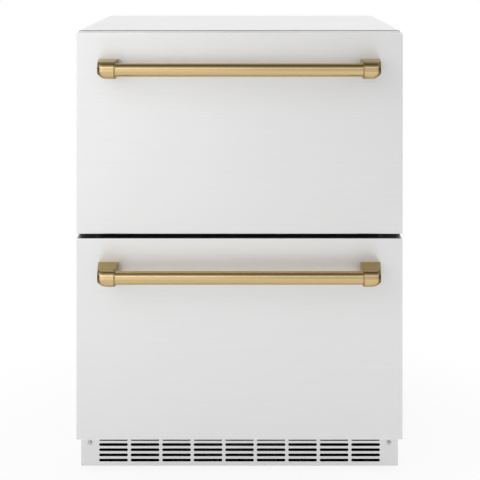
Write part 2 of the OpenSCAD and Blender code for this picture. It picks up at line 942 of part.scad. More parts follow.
module condenser_fan_shroud() {
    half_d = shroud_half_d;
    z1 = comp_floor + shroud_h;
    motor_x = shroud_x + 24;
    motor_r = 20;
    motor_len = 34;
    bore_r = cond_fan_r + 3;
    ring_r = bore_r + 2;
    ring_d = 14;
    arm_half_w = 4;
    arm_t = 4;
    sheet = 2;
    color("black")
        difference() {
            union() {
                difference() {
                    box(shroud_x, shroud_x + sheet, cond_cy - half_d, cond_cy + half_d, comp_floor, z1);
                    rod_x(shroud_x - cut, shroud_x + sheet + cut, cond_cy, cond_cz, bore_r);
                }
                difference() {
                    rod_x(shroud_x, shroud_x + ring_d, cond_cy, cond_cz, ring_r);
                    rod_x(shroud_x - cut, shroud_x + ring_d + cut, cond_cy, cond_cz, bore_r);
                }
                box(shroud_x, shroud_x + ring_d + 4, cond_cy - half_d, cond_cy + half_d,
                    comp_floor, comp_floor + sheet);
                rod_x(motor_x, motor_x + motor_len, cond_cy, cond_cz, motor_r);
                // Four arms from the motor to the ring
                for (a = [45:90:315])
                    translate([0, cond_cy, cond_cz])
                        rotate([a, 0, 0])
                            union() {
                                box(motor_x + 10, motor_x + 10 + arm_t, -arm_half_w, arm_half_w,
                                    motor_r - 3, ring_r - 0.5);
                                box(shroud_x + ring_d - 4, motor_x + 10 + arm_t, -arm_half_w, arm_half_w,
                                    bore_r + 0.2, ring_r - 0.2);
                            }
            }
            rod_x(motor_x - cut, motor_x + 12, cond_cy, cond_cz, shaft_r + shaft_gap);
        }
}

module condenser_fan() {
    color("dimgray")
        translate([shroud_x + 2, cond_cy, cond_cz])
            rotate([0, 0, -90])
                fan_rotor(cond_fan_r, 20, 20, 5, 12);
}

// Unit vector, and rings swept along a path without twist
function unit(v) = v / norm(v);
function direction(path, i) = i == 0 ? unit(path[1] - path[0])
    : i == len(path) - 1 ? unit(path[i] - path[i - 1])
    : unit(unit(path[i] - path[i - 1]) + unit(path[i + 1] - path[i]));
function normals(path, i, last) = i == len(path) ? []
    : let (d = direction(path, i), n = unit(last - d * (last * d))) concat([n], normals(path, i + 1, n));

// Rounds each corner of a path with an arc of the given bend radius
function bend_corner(a, b, c, r, n = 5) = let (
    u = unit(a - b),
    v = unit(c - b),
    half = acos(u * v) / 2,
    centre = b + unit(u + v) * r / sin(half),
    from = b + u * r / tan(half),
    to = b + v * r / tan(half),
    sweep = 180 - 2 * half
) [for (i = [0:n]) let (t = i / n) centre + unit((from - centre) * sin((1 - t) * sweep)
    + (to - centre) * sin(t * sweep)) * r];
function bent(path, r) = concat(
    [path[0]],
    [for (i = [1:len(path) - 2]) each bend_corner(path[i - 1], path[i], path[i + 1], r)],
    [path[len(path) - 1]]
);

module tube(path, r, sides = 8) {
    first = direction(path, 0);
    start = abs(first[2]) > 0.9 ? [1, 0, 0] : [0, 0, 1];
    ns = normals(path, 0, start);
    points = [
        for (i = [0:len(path) - 1])
            let (d = direction(path, i), b = cross(d, ns[i]))
                for (k = [0:sides - 1])
                    path[i] + r * (cos(k * 360 / sides) * ns[i] + sin(k * 360 / sides) * b)
    ];
    rings = len(path);
    polyhedron(points, concat(
        [[for (k = [0:sides - 1]) k]],
        [for (i = [0:rings - 2]) for (k = [0:sides - 1]) let (n = (k + 1) % sides)
            each [[i * sides + k, (i + 1) * sides + n, i * sides + n],
                  [i * sides + k, (i + 1) * sides + k, (i + 1) * sides + n]]],
        [[for (k = [0:sides - 1]) rings * sides - 1 - k]]
    ));
}

module refrigerant_lines() {
    right = comp_cx + comp_r + port_reach;
    left = comp_cx - comp_r - port_reach;
    drier_y = y_comp + 30;
    color("peru") {
        // Suction line, down from the evaporator to the compressor
        tube(bent([
            [line_x, line_y, z_step + 190], [line_x, line_y, z_comp - 14],
            [right + 14, line_y, z_comp - 14], [right + 14, port_y, z_comp - 14],
            [right + 14, port_y, port_z], [comp_cx + comp_r - 2, port_y, port_z]
        ], 8), line_r - 0.3);
        // Discharge line, from the compressor to the condenser
        tube(bent([
            [comp_cx - comp_r + 2, port_y, port_z], [left - 14, port_y, port_z],
            [left - 14, drier_y - 12, port_z], [shroud_x + 70, drier_y - 12, port_z],
            [shroud_x + 70, drier_y - 12, comp_floor + 30]
        ], 8), line_r - 0.8);
    }
    color("orange")
        translate([shroud_x + 70, drier_y - 12, 0])
            rotate_extrude($fn = round_fn)
                polygon([
                    [0, comp_floor + 0.3], [3, comp_floor + 0.3], [3, comp_floor + 5], [9, comp_floor + 9],
                    [9, comp_floor + 22], [line_r, comp_floor + 29], [0, comp_floor + 29]
                ]);
}

// ---- Drawer fronts ----

// A front's outer form, drawn in by the given amount, with folded edges
module front_form(z0, inset, y1) {
    r = max(fold_r - inset, 0.3);
    low = corner_r - inset;
    high = (z0 == z_upper ? crown_r : corner_r) - inset;
    x = body_w / 2 - inset;
    intersection() {
        translate([0, 0, z0 - cut])
            linear_extrude(front_h + 2 * cut)
                polygon(rounded_rect(-x, y_face + inset, x, y1, [r, r, 0.01, 0.01]));
        along_x(-body_w / 2 - cut, body_w / 2 + cut)
            polygon(rounded_rect(y_face + inset, z0 + inset, y1, z0 + front_h - inset, [r, 0.01, 0.01, r]));
        along_y(y_face - cut, y1 + cut)
            polygon(rounded_rect(-x, z0 + inset, x, z0 + front_h - inset, [low, low, high, high]));
    }
}

module front_skin(z0, drop) {
    color("gainsboro")
        difference() {
            front_form(z0, 0, y_panel);
            front_form(z0, shell_t, y_panel + cut);
            handle_bolt_places(z0, drop)
                rod_y(0, -cut, 5, 0, bolt_d / 2 + 0.3);
        }
}

module plug_form(z0, grow, y0, y1) {
    x = cav_x - plug_side + grow;
    r = plug_r + grow;
    along_y(y0, y1)
        polygon(rounded_rect(-x, z0 + plug_low - grow, x, z0 + front_h - plug_high + grow, [r, r, r, r]));
}

module front_foam(z0, drop) {
    color("khaki")
        difference() {
            union() {
                front_form(z0, shell_t, y_panel - panel_t);
                plug_form(z0, -liner_t, y_panel - panel_t - cut, y_plug - liner_t);
            }
            handle_bolt_places(z0, drop)
                rod_y(0, 0, 6, 0, 7);
        }
}

module inner_panel(z0) {
    color("white")
        difference() {
            union() {
                intersection() {
                    front_form(z0, shell_t, y_panel);
                    box(-body_w, body_w, y_panel - panel_t, y_panel, z0, z0 + front_h);
                }
                plug_form(z0, 0, y_panel - panel_t, y_plug);
            }
            plug_form(z0, -liner_t, y_panel - panel_t - cut, y_plug - liner_t);
        }
}

// One layer of the gasket: a rectangular ring, drawn in on both sides
module gasket_ring(z0, y0, y1, draw_in) {
    x = body_w / 2 - gasket_inset - draw_in;
    low = z0 + gasket_inset + draw_in;
    high = z0 + front_h - gasket_inset - draw_in;
    w = gasket_w - 2 * draw_in;
    difference() {
        along_y(y0, y1) polygon(rounded_rect(-x, low, x, high, [3, 3, 3, 3]));
        box(-x + w, x - w, y0 - cut, y1 + cut, low + w, high - w);
    }
}

module gasket(z0) {
    y1 = y_cab - gasket_gap;
    color("gray")
        union() {
            gasket_ring(z0, y_panel, y_panel + 1.6, 0);
            gasket_ring(z0, y_panel + 1, y1 - 2.4, 2.5);
            gasket_ring(z0, y1 - 3, y1, 0);
        }
}

// ---- Handles ----

// How far the bar goes into a bracket, and the bolts behind
bar_seat = 12;
bolt_d = 6;
bolt_len = 15;

function handle_z(z0, drop) = z0 + front_h - drop;

module handle_bolt_places(z0, drop) {
    for (x = [-1, 1])
        translate([x * (handle_len / 2 - bracket_w / 2), y_face + shell_t, handle_z(z0, drop)])
            children();
}

module handle_bar(z0, drop) {
    x = handle_len / 2 - bracket_w + bar_seat;
    color("tan")
        rod_x(-x, x, y_bar, handle_z(z0, drop), bar_d / 2);
}

// The right-hand bracket at height 0: a turned ferrule and the block behind it
module handle_bracket() {
    x1 = handle_len / 2;
    x0 = x1 - bracket_w;
    r = ferrule_d / 2;
    foot = x1 + bracket_flare;
    nose = 7.5;
    nose_r = 8;
    // The lower outer corner is cut off at a slant
    corner_w = 11;
    corner_h = 13;
    difference() {
        union() {
            // Turned ferrule with a collar line near its inner end
            translate([x0, y_bar, 0])
                rotate([0, 90, 0])
                    rotate_extrude($fn = round_fn)
                        polygon([
                            [0, 0], [r - 1, 0], [r, 1], [r, 2.2], [r - 0.9, 2.6], [r - 0.9, 3.4], [r, 3.8],
                            [r, bracket_w - nose], [r - nose_r, bracket_w], [0, bracket_w]
                        ]);
            intersection() {
                translate([0, 0, -r])
                    linear_extrude(2 * r)
                        polygon([
                            [x0, y_bar], [x1 - nose, y_bar], [x1, y_bar + nose], [foot, y_face], [x0, y_face]
                        ]);
                along_y(y_bar - 1, y_face)
                    polygon(concat(
                        arc(x0 + 2, -r + 2, 2, 180, 270, 3),
                        [[foot - corner_w, -r], [foot, -r + corner_h]],
                        arc(foot - 3, r - 3, 3, 0, 90, 4),
                        arc(x0 + 1, r - 1, 1, 90, 180, 3)
                    ));
            }
        }
        rod_x(x0 - cut, x0 + bar_seat + 0.5, y_bar, 0, bar_d / 2 + 0.05);
        rod_y(x1 - bracket_w / 2, y_face - bolt_len - 1, y_face + cut, 0, bolt_d / 2 + 0.05);
    }
}

module handle_brackets(z0, drop) {
    color("tan")
        translate([0, 0, handle_z(z0, drop)])
            both_sides()
                handle_bracket();
}

module handle_bolts(z0, drop) {
    color("silver")
        handle_bolt_places(z0, drop)
            union() {
                rod_y(0, -bolt_len, 0.5, 0, bolt_d / 2);
                rod_y(0, 0, 1.2, 0, 6.5);
                // Hexagon head
                rotate([-90, 0, 0])
                    translate([0, 0, 1])
                        cylinder(h = 4, r = 5.5, $fn = 6);
            }
}

// ---- Bins and their frames ----

module bin_frame(z0) {
    zc = z0 + slide_rise;
    low = zc - frame_below;
    high = zc + frame_above;
    x = frame_x;
    inside = frame_t + frame_lip;
    slot_step = (y_frame_end - y_plug) / frame_slots;
    color("silver")
        difference() {
            box(-x, x, y_plug, y_frame_end, low, high);
            box(-x + frame_t, x - frame_t, y_plug + frame_t, y_frame_end - frame_t,
                low - cut, high - frame_t);
            box(-x + inside, x - inside, y_plug + inside, y_frame_end - inside,
                low - cut, high + cut);
            // Lightening slots in the side plates
            for (i = [0:frame_slots - 1])
                along_x(-x - cut, x + cut)
                    polygon(slot_outline(
                        y_plug + (i + 0.5) * slot_step, zc + frame_slot_rise, frame_slot_len, frame_slot_h
                    ));
        }
}

// A bin's outer or inner form below the rim
module bin_form(inset, y0, y1, z0, z1) {
    r = bin_r - inset;
    translate([0, 0, z0])
        linear_extrude(z1 - z0)
            polygon(rounded_rect(-bin_x + inset, y0 + inset, bin_x - inset, y1 - inset, [r, r, r, r]));
}

module bin(z0, stepped) {
    rim = z0 + slide_rise + frame_above;
    low = rim - bin_h;
    y1 = y_bin_end;
    y_low = stepped ? y_step - step_gap : y1;
    shelf = stepped ? rim - shallow_h : low;
    color("white")
        difference() {
            union() {
                bin_form(0, y_bin, y_low, low, rim + 1);
                if (stepped)
                    bin_form(0, y_bin, y1, shelf, rim + 1);
                translate([0, 0, rim])
                    linear_extrude(bin_rim_t)
                        polygon(rounded_rect(
                            -bin_x - bin_rim, y_bin - bin_rim, bin_x + bin_rim, y1 + bin_rim,
                            [bin_r, bin_r, bin_r, bin_r] / 2
                        ));
            }
            bin_form(bin_t, y_bin, y_low, low + bin_t, rim + 5);
            if (stepped)
                bin_form(bin_t, y_bin, y1, shelf + bin_t, rim + 5);
        }
}

// ---- Telescopic slides ----

// Part of the ring round a ball row, from angle a0 to a1
module curl(u, v, a0, a1) {
    polygon(concat(arc(u, v, curl_r, a0, a1, 12), arc(u, v, groove_r, a1, a0, 12)));
}

module mirror_v() {
    children();
    mirror([0, 1])
        children();
}

module cabinet_rail_section() {
    top = outer_ball_v + curl_r;
    lip = asin(lip_cut / curl_r);
    union() {
        translate([0, -top])
            square([rail_t, 2 * top]);
        mirror_v() {
            translate([0, top - rail_t])
                square([outer_ball_u, rail_t]);
            curl(outer_ball_u, outer_ball_v, lip, 90);
        }
    }
}

module middle_rail_section() {
    lip = asin(lip_cut / curl_r);
    plate = (outer_ball_v + inner_ball_v) / 2;
    union() {
        translate([middle_web_u, -plate])
            square([rail_t, 2 * plate]);
        mirror_v() {
            translate([middle_web_u, plate - rail_t / 2])
                square([inner_ball_u - middle_web_u, rail_t]);
            curl(outer_ball_u, outer_ball_v, 180 + lip, 360 - lip);
            curl(inner_ball_u, inner_ball_v, lip, 180 - lip);
        }
    }
}

module drawer_rail_section() {
    lip = asin(lip_cut / curl_r);
    web = inner_ball_v - lip_cut;
    union() {
        translate([slide_pack - rail_t, -web])
            square([rail_t, 2 * web]);
        mirror_v() {
            curl(inner_ball_u, inner_ball_v, 180 + lip, 360 - lip);
            translate([inner_ball_u, inner_ball_v - curl_r])
                square([slide_pack - inner_ball_u, rail_t]);
        }
    }
}

// Places a slide's left-hand section against the liner's wall; side is -1 or 1
module on_wall(side, z0) {
    if (side < 0)
        translate([-cav_x, 0, z0 + slide_rise])
            children();
    else
        mirror([1, 0, 0])
            translate([-cav_x, 0, z0 + slide_rise])
                children();
}

module cabinet_rail(side, z0) {
    color("silver")
        on_wall(side, z0)
            along_y(y_rail, y_rail_end)
                cabinet_rail_section();
}

module middle_rail(side, z0) {
    color("lightgray")
        on_wall(side, z0)
            along_y(y_rail + middle_short, y_rail_end - middle_short)
                middle_rail_section();
}

module drawer_rail(side, z0) {
    color("silver")
        on_wall(side, z0)
            along_y(y_rail + middle_short, y_rail_end - drawer_short)
                drawer_rail_section();
}

// A bent strip that carries two rows of balls
module cage(web_u, ball_u, ball_v) {
    strip = ball_v + cage_strip / 2;
    union() {
        along_y(y_cage - cage_len / 2, y_cage + cage_len / 2)
            difference() {
                translate([web_u, -strip])
                    square([ball_u + cage_reach - web_u, 2 * strip]);
                translate([web_u + cage_t, -strip + cage_strip])
                    square([ball_u, 2 * strip - 2 * cage_strip]);
            }
        for (v = [-ball_v, ball_v])
            for (i = [0:ball_count - 1])
                translate([ball_u, y_cage + (i - (ball_count - 1) / 2) * ball_pitch, v])
                    sphere(d = ball_d, $fn = 24);
    }
}

module outer_cages(z0) {
    color("gold")
        for (side = [-1, 1])
            on_wall(side, z0)
                cage(outer_cage_u, outer_ball_u, outer_ball_v);
}

module inner_cages(z0) {
    color("gold")
        for (side = [-1, 1])
            on_wall(side, z0)
                cage(inner_cage_u, inner_ball_u, inner_ball_v);
}

// ---- The pieces of each drawer ----

module upper_front_skin() { front_skin(z_upper, upper_handle_drop); }
module upper_front_foam() { front_foam(z_upper, upper_handle_drop); }
module upper_inner_panel() { inner_panel(z_upper); }
module upper_gasket() { gasket(z_upper); }
module upper_handle_bar() { handle_bar(z_upper, upper_handle_drop); }
module upper_handle_brackets() { handle_brackets(z_upper, upper_handle_drop); }
module upper_handle_bolts() { handle_bolts(z_upper, upper_handle_drop); }
module upper_bin() { bin(z_upper, false); }
module upper_bin_frame() { bin_frame(z_upper); }
module upper_left_cabinet_rail() { cabinet_rail(-1, z_upper); }
module upper_left_middle_rail() { middle_rail(-1, z_upper); }
module upper_left_drawer_rail() { drawer_rail(-1, z_upper); }
module upper_right_cabinet_rail() { cabinet_rail(1, z_upper); }
module upper_right_middle_rail() { middle_rail(1, z_upper); }
module upper_right_drawer_rail() { drawer_rail(1, z_upper); }
module upper_outer_cages() { outer_cages(z_upper); }
module upper_inner_cages() { inner_cages(z_upper); }

module lower_front_skin() { front_skin(z_lower, lower_handle_drop); }
module lower_front_foam() { front_foam(z_lower, lower_handle_drop); }
module lower_inner_panel() { inner_panel(z_lower); }
module lower_gasket() { gasket(z_lower); }
module lower_handle_bar() { handle_bar(z_lower, lower_handle_drop); }
module lower_handle_brackets() { handle_brackets(z_lower, lower_handle_drop); }
module lower_handle_bolts() { handle_bolts(z_lower, lower_handle_drop); }
module lower_bin() { bin(z_lower, true); }
module lower_bin_frame() { bin_frame(z_lower); }
module lower_left_cabinet_rail() { cabinet_rail(-1, z_lower); }
module lower_left_middle_rail() { middle_rail(-1, z_lower); }
module lower_left_drawer_rail() { drawer_rail(-1, z_lower); }
module lower_right_cabinet_rail() { cabinet_rail(1, z_lower); }
module lower_right_middle_rail() { middle_rail(1, z_lower); }
module lower_right_drawer_rail() { drawer_rail(1, z_lower); }
module lower_outer_cages() { outer_cages(z_lower); }
module lower_inner_cages() { inner_cages(z_lower); }

outer_wrapper();
back_panel();
rear_service_cover();
base_pan();
inner_liner();
cabinet_foam();
cross_rails();
toe_grille();
panel_screws();
evaporator_cover();
evaporator_coil();
evaporator_fan_mount();
evaporator_fan();
control_module();
condensate_drain();
compressor();
compressor_grommets();
condenser_coil();
condenser_fan_shroud();
condenser_fan();
refrigerant_lines();
power_inlet();
foot_front_left();
foot_front_right();
foot_rear_left();
foot_rear_right();
upper_front_skin();
upper_front_foam();
upper_inner_panel();
upper_gasket();
upper_handle_bar();
upper_handle_brackets();
upper_handle_bolts();
upper_bin();
upper_bin_frame();
upper_left_cabinet_rail();
upper_left_middle_rail();
upper_left_drawer_rail();
upper_right_cabinet_rail();
upper_right_middle_rail();
upper_right_drawer_rail();
upper_outer_cages();
upper_inner_cages();
lower_front_skin();
lower_front_foam();
lower_inner_panel();
lower_gasket();
lower_handle_bar();
lower_handle_brackets();
lower_handle_bolts();
lower_bin();
lower_bin_frame();
lower_left_cabinet_rail();
lower_left_middle_rail();
lower_left_drawer_rail();
lower_right_cabinet_rail();
lower_right_middle_rail();
lower_right_drawer_rail();
lower_outer_cages();
lower_inner_cages();
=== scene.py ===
"""Finishes and studio for an undercounter drawer refrigerator.

Lengths are in metres, in the parts' own frame: the front faces -Y, +X is the right-hand side
and +Z is up. The picture is taken to be 480 pixels square.
"""
import math

import bmesh
import bpy
from bpy.props import FloatProperty, FloatVectorProperty, PointerProperty
from mathutils import Matrix, Vector


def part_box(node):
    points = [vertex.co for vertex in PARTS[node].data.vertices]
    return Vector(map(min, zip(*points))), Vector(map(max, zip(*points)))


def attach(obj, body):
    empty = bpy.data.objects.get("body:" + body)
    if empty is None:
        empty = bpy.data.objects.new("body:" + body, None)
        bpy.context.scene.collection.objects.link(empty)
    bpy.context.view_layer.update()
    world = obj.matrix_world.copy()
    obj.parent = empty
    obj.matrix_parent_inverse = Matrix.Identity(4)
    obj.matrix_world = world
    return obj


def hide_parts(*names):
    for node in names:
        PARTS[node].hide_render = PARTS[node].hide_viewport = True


bl_info = {
    "name": "Drawer Refrigerator Finishes",
    "version": (1, 0, 0),
    "blender": (4, 5, 0),
    "location": "View3D > Sidebar > Refrigerator",
    "description": "Finishes, gaskets and studio for an undercounter drawer refrigerator",
    "category": "Object",
}

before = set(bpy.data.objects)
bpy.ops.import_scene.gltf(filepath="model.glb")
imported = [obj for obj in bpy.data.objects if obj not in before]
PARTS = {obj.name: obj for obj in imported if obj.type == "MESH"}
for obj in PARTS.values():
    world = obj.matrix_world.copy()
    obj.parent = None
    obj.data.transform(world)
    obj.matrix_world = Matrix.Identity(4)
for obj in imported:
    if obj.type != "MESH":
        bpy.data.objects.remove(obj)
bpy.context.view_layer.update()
DRAWERS = ("upper", "lower")
MILLIMETRE = 0.001
WHITE = (1.0, 1.0, 1.0)

# ---- Sizes and colours that a user would change ----


def colour(name, description, default):
    return FloatVectorProperty(
        name=name, description=description, default=default,
        size=3, subtype="COLOR", min=0.0, max=1.0,
    )


def length(name, description, default):
    return FloatProperty(
        name=name, description=description, default=default,
        min=0.0, unit="LENGTH", precision=5,
    )


def share(name, description, default):
    return FloatProperty(
        name=name, description=description, default=default,
        min=0.0, max=1.0, subtype="FACTOR",
    )


class RefrigeratorSteel(bpy.types.PropertyGroup):
    """Stainless and plated sheets."""

    stainless: colour("Stainless", "Colour of the stainless sheets", (0.80, 0.80, 0.80))
    plated: colour("Plated", "Colour of zinc plated rails", (0.60, 0.61, 0.62))
    galvanised: colour("Galvanised", "Colour of galvanised sheets", (0.50, 0.52, 0.53))
    grain_width: length("Grain width", "Width of one brushed line", 0.0006)
    grain_length: length("Grain length", "Length of one brushed line", 0.09)
    edge_radius: length("Edge radius", "Radius that catches light along metal edges", 0.0005)
    front_roughness: share("Front roughness", "Roughness of the drawer fronts", 0.32)
    front_metallic: share("Front metal", "How fully the fronts mirror as metal does", 0.65)


class RefrigeratorBronze(bpy.types.PropertyGroup):
    """The handles."""

    tint: colour("Bronze", "Colour of the handles", (0.65, 0.485, 0.25))
    roughness: share("Roughness", "Roughness of the handles", 0.15)
    # Painted shade on the brackets' outer sides and top
    side_shade: share("Painted side shade", "How much painted shade darkens the brackets' outer sides", 0.9)


class RefrigeratorPlastics(bpy.types.PropertyGroup):
    """Moulded parts, rubber and foam."""

    liner: colour("Liner", "Colour of the moulded liner and panels", (0.86, 0.86, 0.85))
    bin: colour("Bin", "Colour of the bins", (0.84, 0.86, 0.87))
    gasket: colour("Gasket", "Colour of the gaskets", (0.09, 0.09, 0.093))
    foam: colour("Foam", "Colour of the rigid foam", (0.80, 0.70, 0.42))
    black: colour("Black", "Colour of black plastic", (0.022, 0.022, 0.024))


class RefrigeratorStudio(bpy.types.PropertyGroup):
    """The eye, the lamp and the floor."""

    eye: FloatVectorProperty(
        name="Eye", description="Where the picture is taken from",
        default=(0.0133, -2.7195, 0.986), size=3, subtype="TRANSLATION", unit="LENGTH",
    )
    focal_pixels: FloatProperty(
        name="Focal length", description="Focal length in pixels",
        default=1343.6, min=1.0, subtype="PIXEL",
    )
    vanishing_x: FloatProperty(
        name="Vanishing point X", description="In pixels from the left",
        default=246.6, subtype="PIXEL",
    )
    vanishing_y: FloatProperty(
        name="Vanishing point Y", description="In pixels from the top",
        default=-50.0, subtype="PIXEL",
    )
    key_power: FloatProperty(
        name="Key power", description="Power of the lamp", default=8.0, min=0.0, unit="POWER",
    )
    floor_colour: colour("Floor", "Colour of the floor", (0.90, 0.90, 0.90))
    floor_shade: share("Floor shade", "How much of the shadow the floor shows", 0.09)


# ---- Shader trees ----


def add(tree, kind, inputs=None, **attributes):
    """Adds a node, sets its attributes, and sets or links its inputs."""
    node = tree.nodes.new(kind)
    for name, value in attributes.items():
        setattr(node, name, value)
    for name, value in (inputs or {}).items():
        if isinstance(value, bpy.types.NodeSocket):
            tree.links.new(value, node.inputs[name])
        else:
            node.inputs[name].default_value = value
    return node


def math_node(tree, operation, a, b=0.0, c=0.0, clamp=False):
    node = add(tree, "ShaderNodeMath", {0: a, 1: b, 2: c}, operation=operation, use_clamp=clamp)
    return node.outputs[0]


def in_range(tree, value, low, high, start=0.0, end=1.0):
    """A number from start to end, as the value goes from low to high."""
    node = add(tree, "ShaderNodeMapRange", {"Value": value, 1: low, 2: high, 3: start, 4: end})
    return node.outputs[0]


def split(tree, vector):
    """The X, Y and Z of a vector, as outputs."""
    return add(tree, "ShaderNodeSeparateXYZ", {"Vector": vector}).outputs


def surface_normal(tree, kind):
    """The X, Y and Z of the surface's normal: Normal as shaded, True Normal as built."""
    return split(tree, add(tree, "ShaderNodeNewGeometry").outputs[kind])


def tone_ramp(tree, value, stops):
    """A smooth grey for a value, through places and greys. The stops include 0 and 1."""
    curve = add(tree, "ShaderNodeFloatCurve", {"Value": value})
    curve.mapping.extend = "HORIZONTAL"
    points = curve.mapping.curves[0].points
    top = max(tone for _, tone in stops)
    for point, (place, tone) in zip(points, (stops[0], stops[-1])):
        point.location = (place, tone / top)
    for place, tone in stops[1:-1]:
        points.new(place, tone / top)
    for point in points:
        point.handle_type = "AUTO_CLAMPED"
    curve.mapping.update()
    return math_node(tree, "MULTIPLY", curve.outputs[0], top)


def blend_colours(tree, factor, a, b):
    """Mixes two colours, each a socket or three numbers."""
    node = add(tree, "ShaderNodeMix", {"Factor": factor}, data_type="RGBA")
    for name, value in (("A", a), ("B", b)):
        socket = next(s for s in node.inputs if s.name == name and s.type == "RGBA")
        if isinstance(value, bpy.types.NodeSocket):
            tree.links.new(value, socket)
        else:
            socket.default_value = (*value, 1.0)
    return next(s for s in node.outputs if s.type == "RGBA")


def scaled(tint, factor):
    """A lighter or darker tint, no part of it above 1."""
    return [min(1.0, c * factor) for c in tint]


# ---- Effects that several finishes share ----

# Shares of the fine and the broad lines in a grain, and how many broad ones come to a fine one
FINE_SHARE, BROAD_SHARE, BROAD_SCALE = 0.7, 0.3, 0.21
# Rays for the soft edges and for the painted shade of crevices
EDGE_SAMPLES, CREVICE_SHADE_SAMPLES = 6, 8
# The part of the noise that makes the wiped patches
PATCH_LOW, PATCH_HIGH = 0.15, 0.85
# A face counts as a front by how far its normal points forward or back
FORWARD_LOW, FORWARD_HIGH = 0.1, 0.5
# The groups that have been made, by name
GROUPS = {}


def shader_group(name, inputs, outputs):
    """A new node group with named sockets: (tree, its input node, its output node)."""
    tree = GROUPS[name] = bpy.data.node_groups.new(name, "ShaderNodeTree")
    for socket, (kind, value) in inputs.items():
        made = tree.interface.new_socket(
            socket, in_out="INPUT", socket_type="NodeSocket" + kind
        )
        if value is not None:
            made.default_value = value
    for socket, kind in outputs.items():
        tree.interface.new_socket(socket, in_out="OUTPUT", socket_type="NodeSocket" + kind)
    return tree, tree.nodes.new("NodeGroupInput"), tree.nodes.new("NodeGroupOutput")


def make_brushed_grain():
    """Fine parallel lines: the vector is scaled so that one unit is one line."""
    tree, given, out = shader_group(
        "Brushed grain",
        {"Vector": ("Vector", None), "Depth": ("Float", 0.1)},
        {"Lines": "Float", "Height": "Float"},
    )
    at = given.outputs["Vector"]
    fine = add(tree, "ShaderNodeTexNoise", {"Vector": at, "Scale": 1.0, "Detail": 2.0})
    broad = add(tree, "ShaderNodeTexNoise", {"Vector": at, "Scale": BROAD_SCALE, "Detail": 1.0})
    lines = math_node(
        tree, "ADD",
        math_node(tree, "MULTIPLY", fine.outputs[0], FINE_SHARE),
        math_node(tree, "MULTIPLY", broad.outputs[0], BROAD_SHARE),
    )
    height = math_node(tree, "MULTIPLY", lines, given.outputs["Depth"])
    tree.links.new(lines, out.inputs["Lines"])
    tree.links.new(height, out.inputs["Height"])


def make_soft_edges():
    """Rounds the normal along edges."""
    tree, given, out = shader_group(
        "Soft edges", {"Radius": ("Float", 0.0005)}, {"Normal": "Vector"}
    )
    bevel = add(
        tree, "ShaderNodeBevel", {"Radius": given.outputs["Radius"]}, samples=EDGE_SAMPLES
    )
    tree.links.new(bevel.outputs[0], out.inputs["Normal"])


def make_wiped_surface():
    """Slow, faint change over a surface, as from wiping and handling, about 0 to 1."""
    tree, given, out = shader_group(
        "Wiped surface", {"Vector": ("Vector", None), "Size": ("Float", 0.2)}, {"Mask": "Float"}
    )
    scale = math_node(tree, "DIVIDE", 1.0, given.outputs["Size"])
    slow = add(
        tree, "ShaderNodeTexNoise",
        {"Vector": given.outputs["Vector"], "Scale": scale, "Detail": 2.0},
    )
    mask = in_range(tree, slow.outputs[0], PATCH_LOW, PATCH_HIGH)
    tree.links.new(mask, out.inputs["Mask"])


def make_moulded_skin():
    """The faint pebbled skin of moulded plastic and rubber."""
    tree, given, out = shader_group(
        "Moulded skin",
        {"Vector": ("Vector", None), "Size": ("Float", 0.001), "Depth": ("Float", 0.00002)},
        {"Height": "Float"},
    )
    at = given.outputs["Vector"]
    scale = math_node(tree, "DIVIDE", 1.0, given.outputs["Size"])
    pebbles = add(
        tree, "ShaderNodeTexVoronoi", {"Vector": at, "Scale": scale}, feature="SMOOTH_F1"
    )
    mottle = add(tree, "ShaderNodeTexNoise", {"Vector": at, "Scale": scale, "Detail": 3.0})
    both = math_node(tree, "MULTIPLY", pebbles.outputs["Distance"], mottle.outputs[0])
    height = math_node(tree, "MULTIPLY", both, given.outputs["Depth"])
    tree.links.new(height, out.inputs["Height"])


def make_zinc_spangle():
    """Zinc crystals on galvanised sheet."""
    tree, given, out = shader_group(
        "Zinc spangle", {"Vector": ("Vector", None), "Size": ("Float", 0.01)}, {"Tone": "Float"}
    )
    scale = math_node(tree, "DIVIDE", 1.0, given.outputs["Size"])
    crystals = add(
        tree, "ShaderNodeTexVoronoi",
        {"Vector": given.outputs["Vector"], "Scale": scale, "Randomness": 1.0},
    )
    tone = add(tree, "ShaderNodeSeparateColor", {"Color": crystals.outputs["Color"]})
    tree.links.new(tone.outputs[0], out.inputs["Tone"])


def make_painted_crevice_shade():
    """Painted shade: darkens a colour where other surfaces stand close, as in seams, slots and
    corners.

    Faces that look forward can be left clear of it, with the bent edges beside them.
    """
    tree, given, out = shader_group(
        "Painted crevice shade",
        {
            "Color": ("Color", None), "Reach": ("Float", 0.01), "Depth": ("Float", 1.0),
            "Spare fronts": ("Float", 0.0),
        },
        {"Color": "Color"},
    )
    open_air = add(
        tree, "ShaderNodeAmbientOcclusion", {"Distance": given.outputs["Reach"]},
        samples=CREVICE_SHADE_SAMPLES,
    ).outputs["AO"]
    forward = math_node(tree, "ABSOLUTE", surface_normal(tree, "True Normal")["Y"])
    facing = in_range(tree, forward, FORWARD_LOW, FORWARD_HIGH)
    spared = math_node(tree, "MULTIPLY", facing, given.outputs["Spare fronts"])
    open_to_shade = math_node(tree, "SUBTRACT", 1.0, spared)
    strength = math_node(tree, "MULTIPLY", given.outputs["Depth"], open_to_shade)
    shade = math_node(tree, "POWER", open_air, strength)
    dark = add(
        tree, "ShaderNodeVectorMath", {0: given.outputs["Color"], "Scale": shade},
        operation="SCALE",
    )
    tree.links.new(dark.outputs[0], out.inputs["Color"])


GROUP_MAKERS = (
    make_brushed_grain, make_soft_edges, make_wiped_surface, make_moulded_skin,
    make_zinc_spangle, make_painted_crevice_shade,
)


def place_group(tree, name, inputs):
    """Puts one of the shared effects in a material."""
    return add(tree, "ShaderNodeGroup", inputs, node_tree=GROUPS[name])


# ---- Finishes ----

# Size of the wiped patches on each kind of surface
METAL_PATCH, ZINC_PATCH, PLASTIC_PATCH, FOAM_PATCH = 0.25, 0.2, 0.12, 0.05
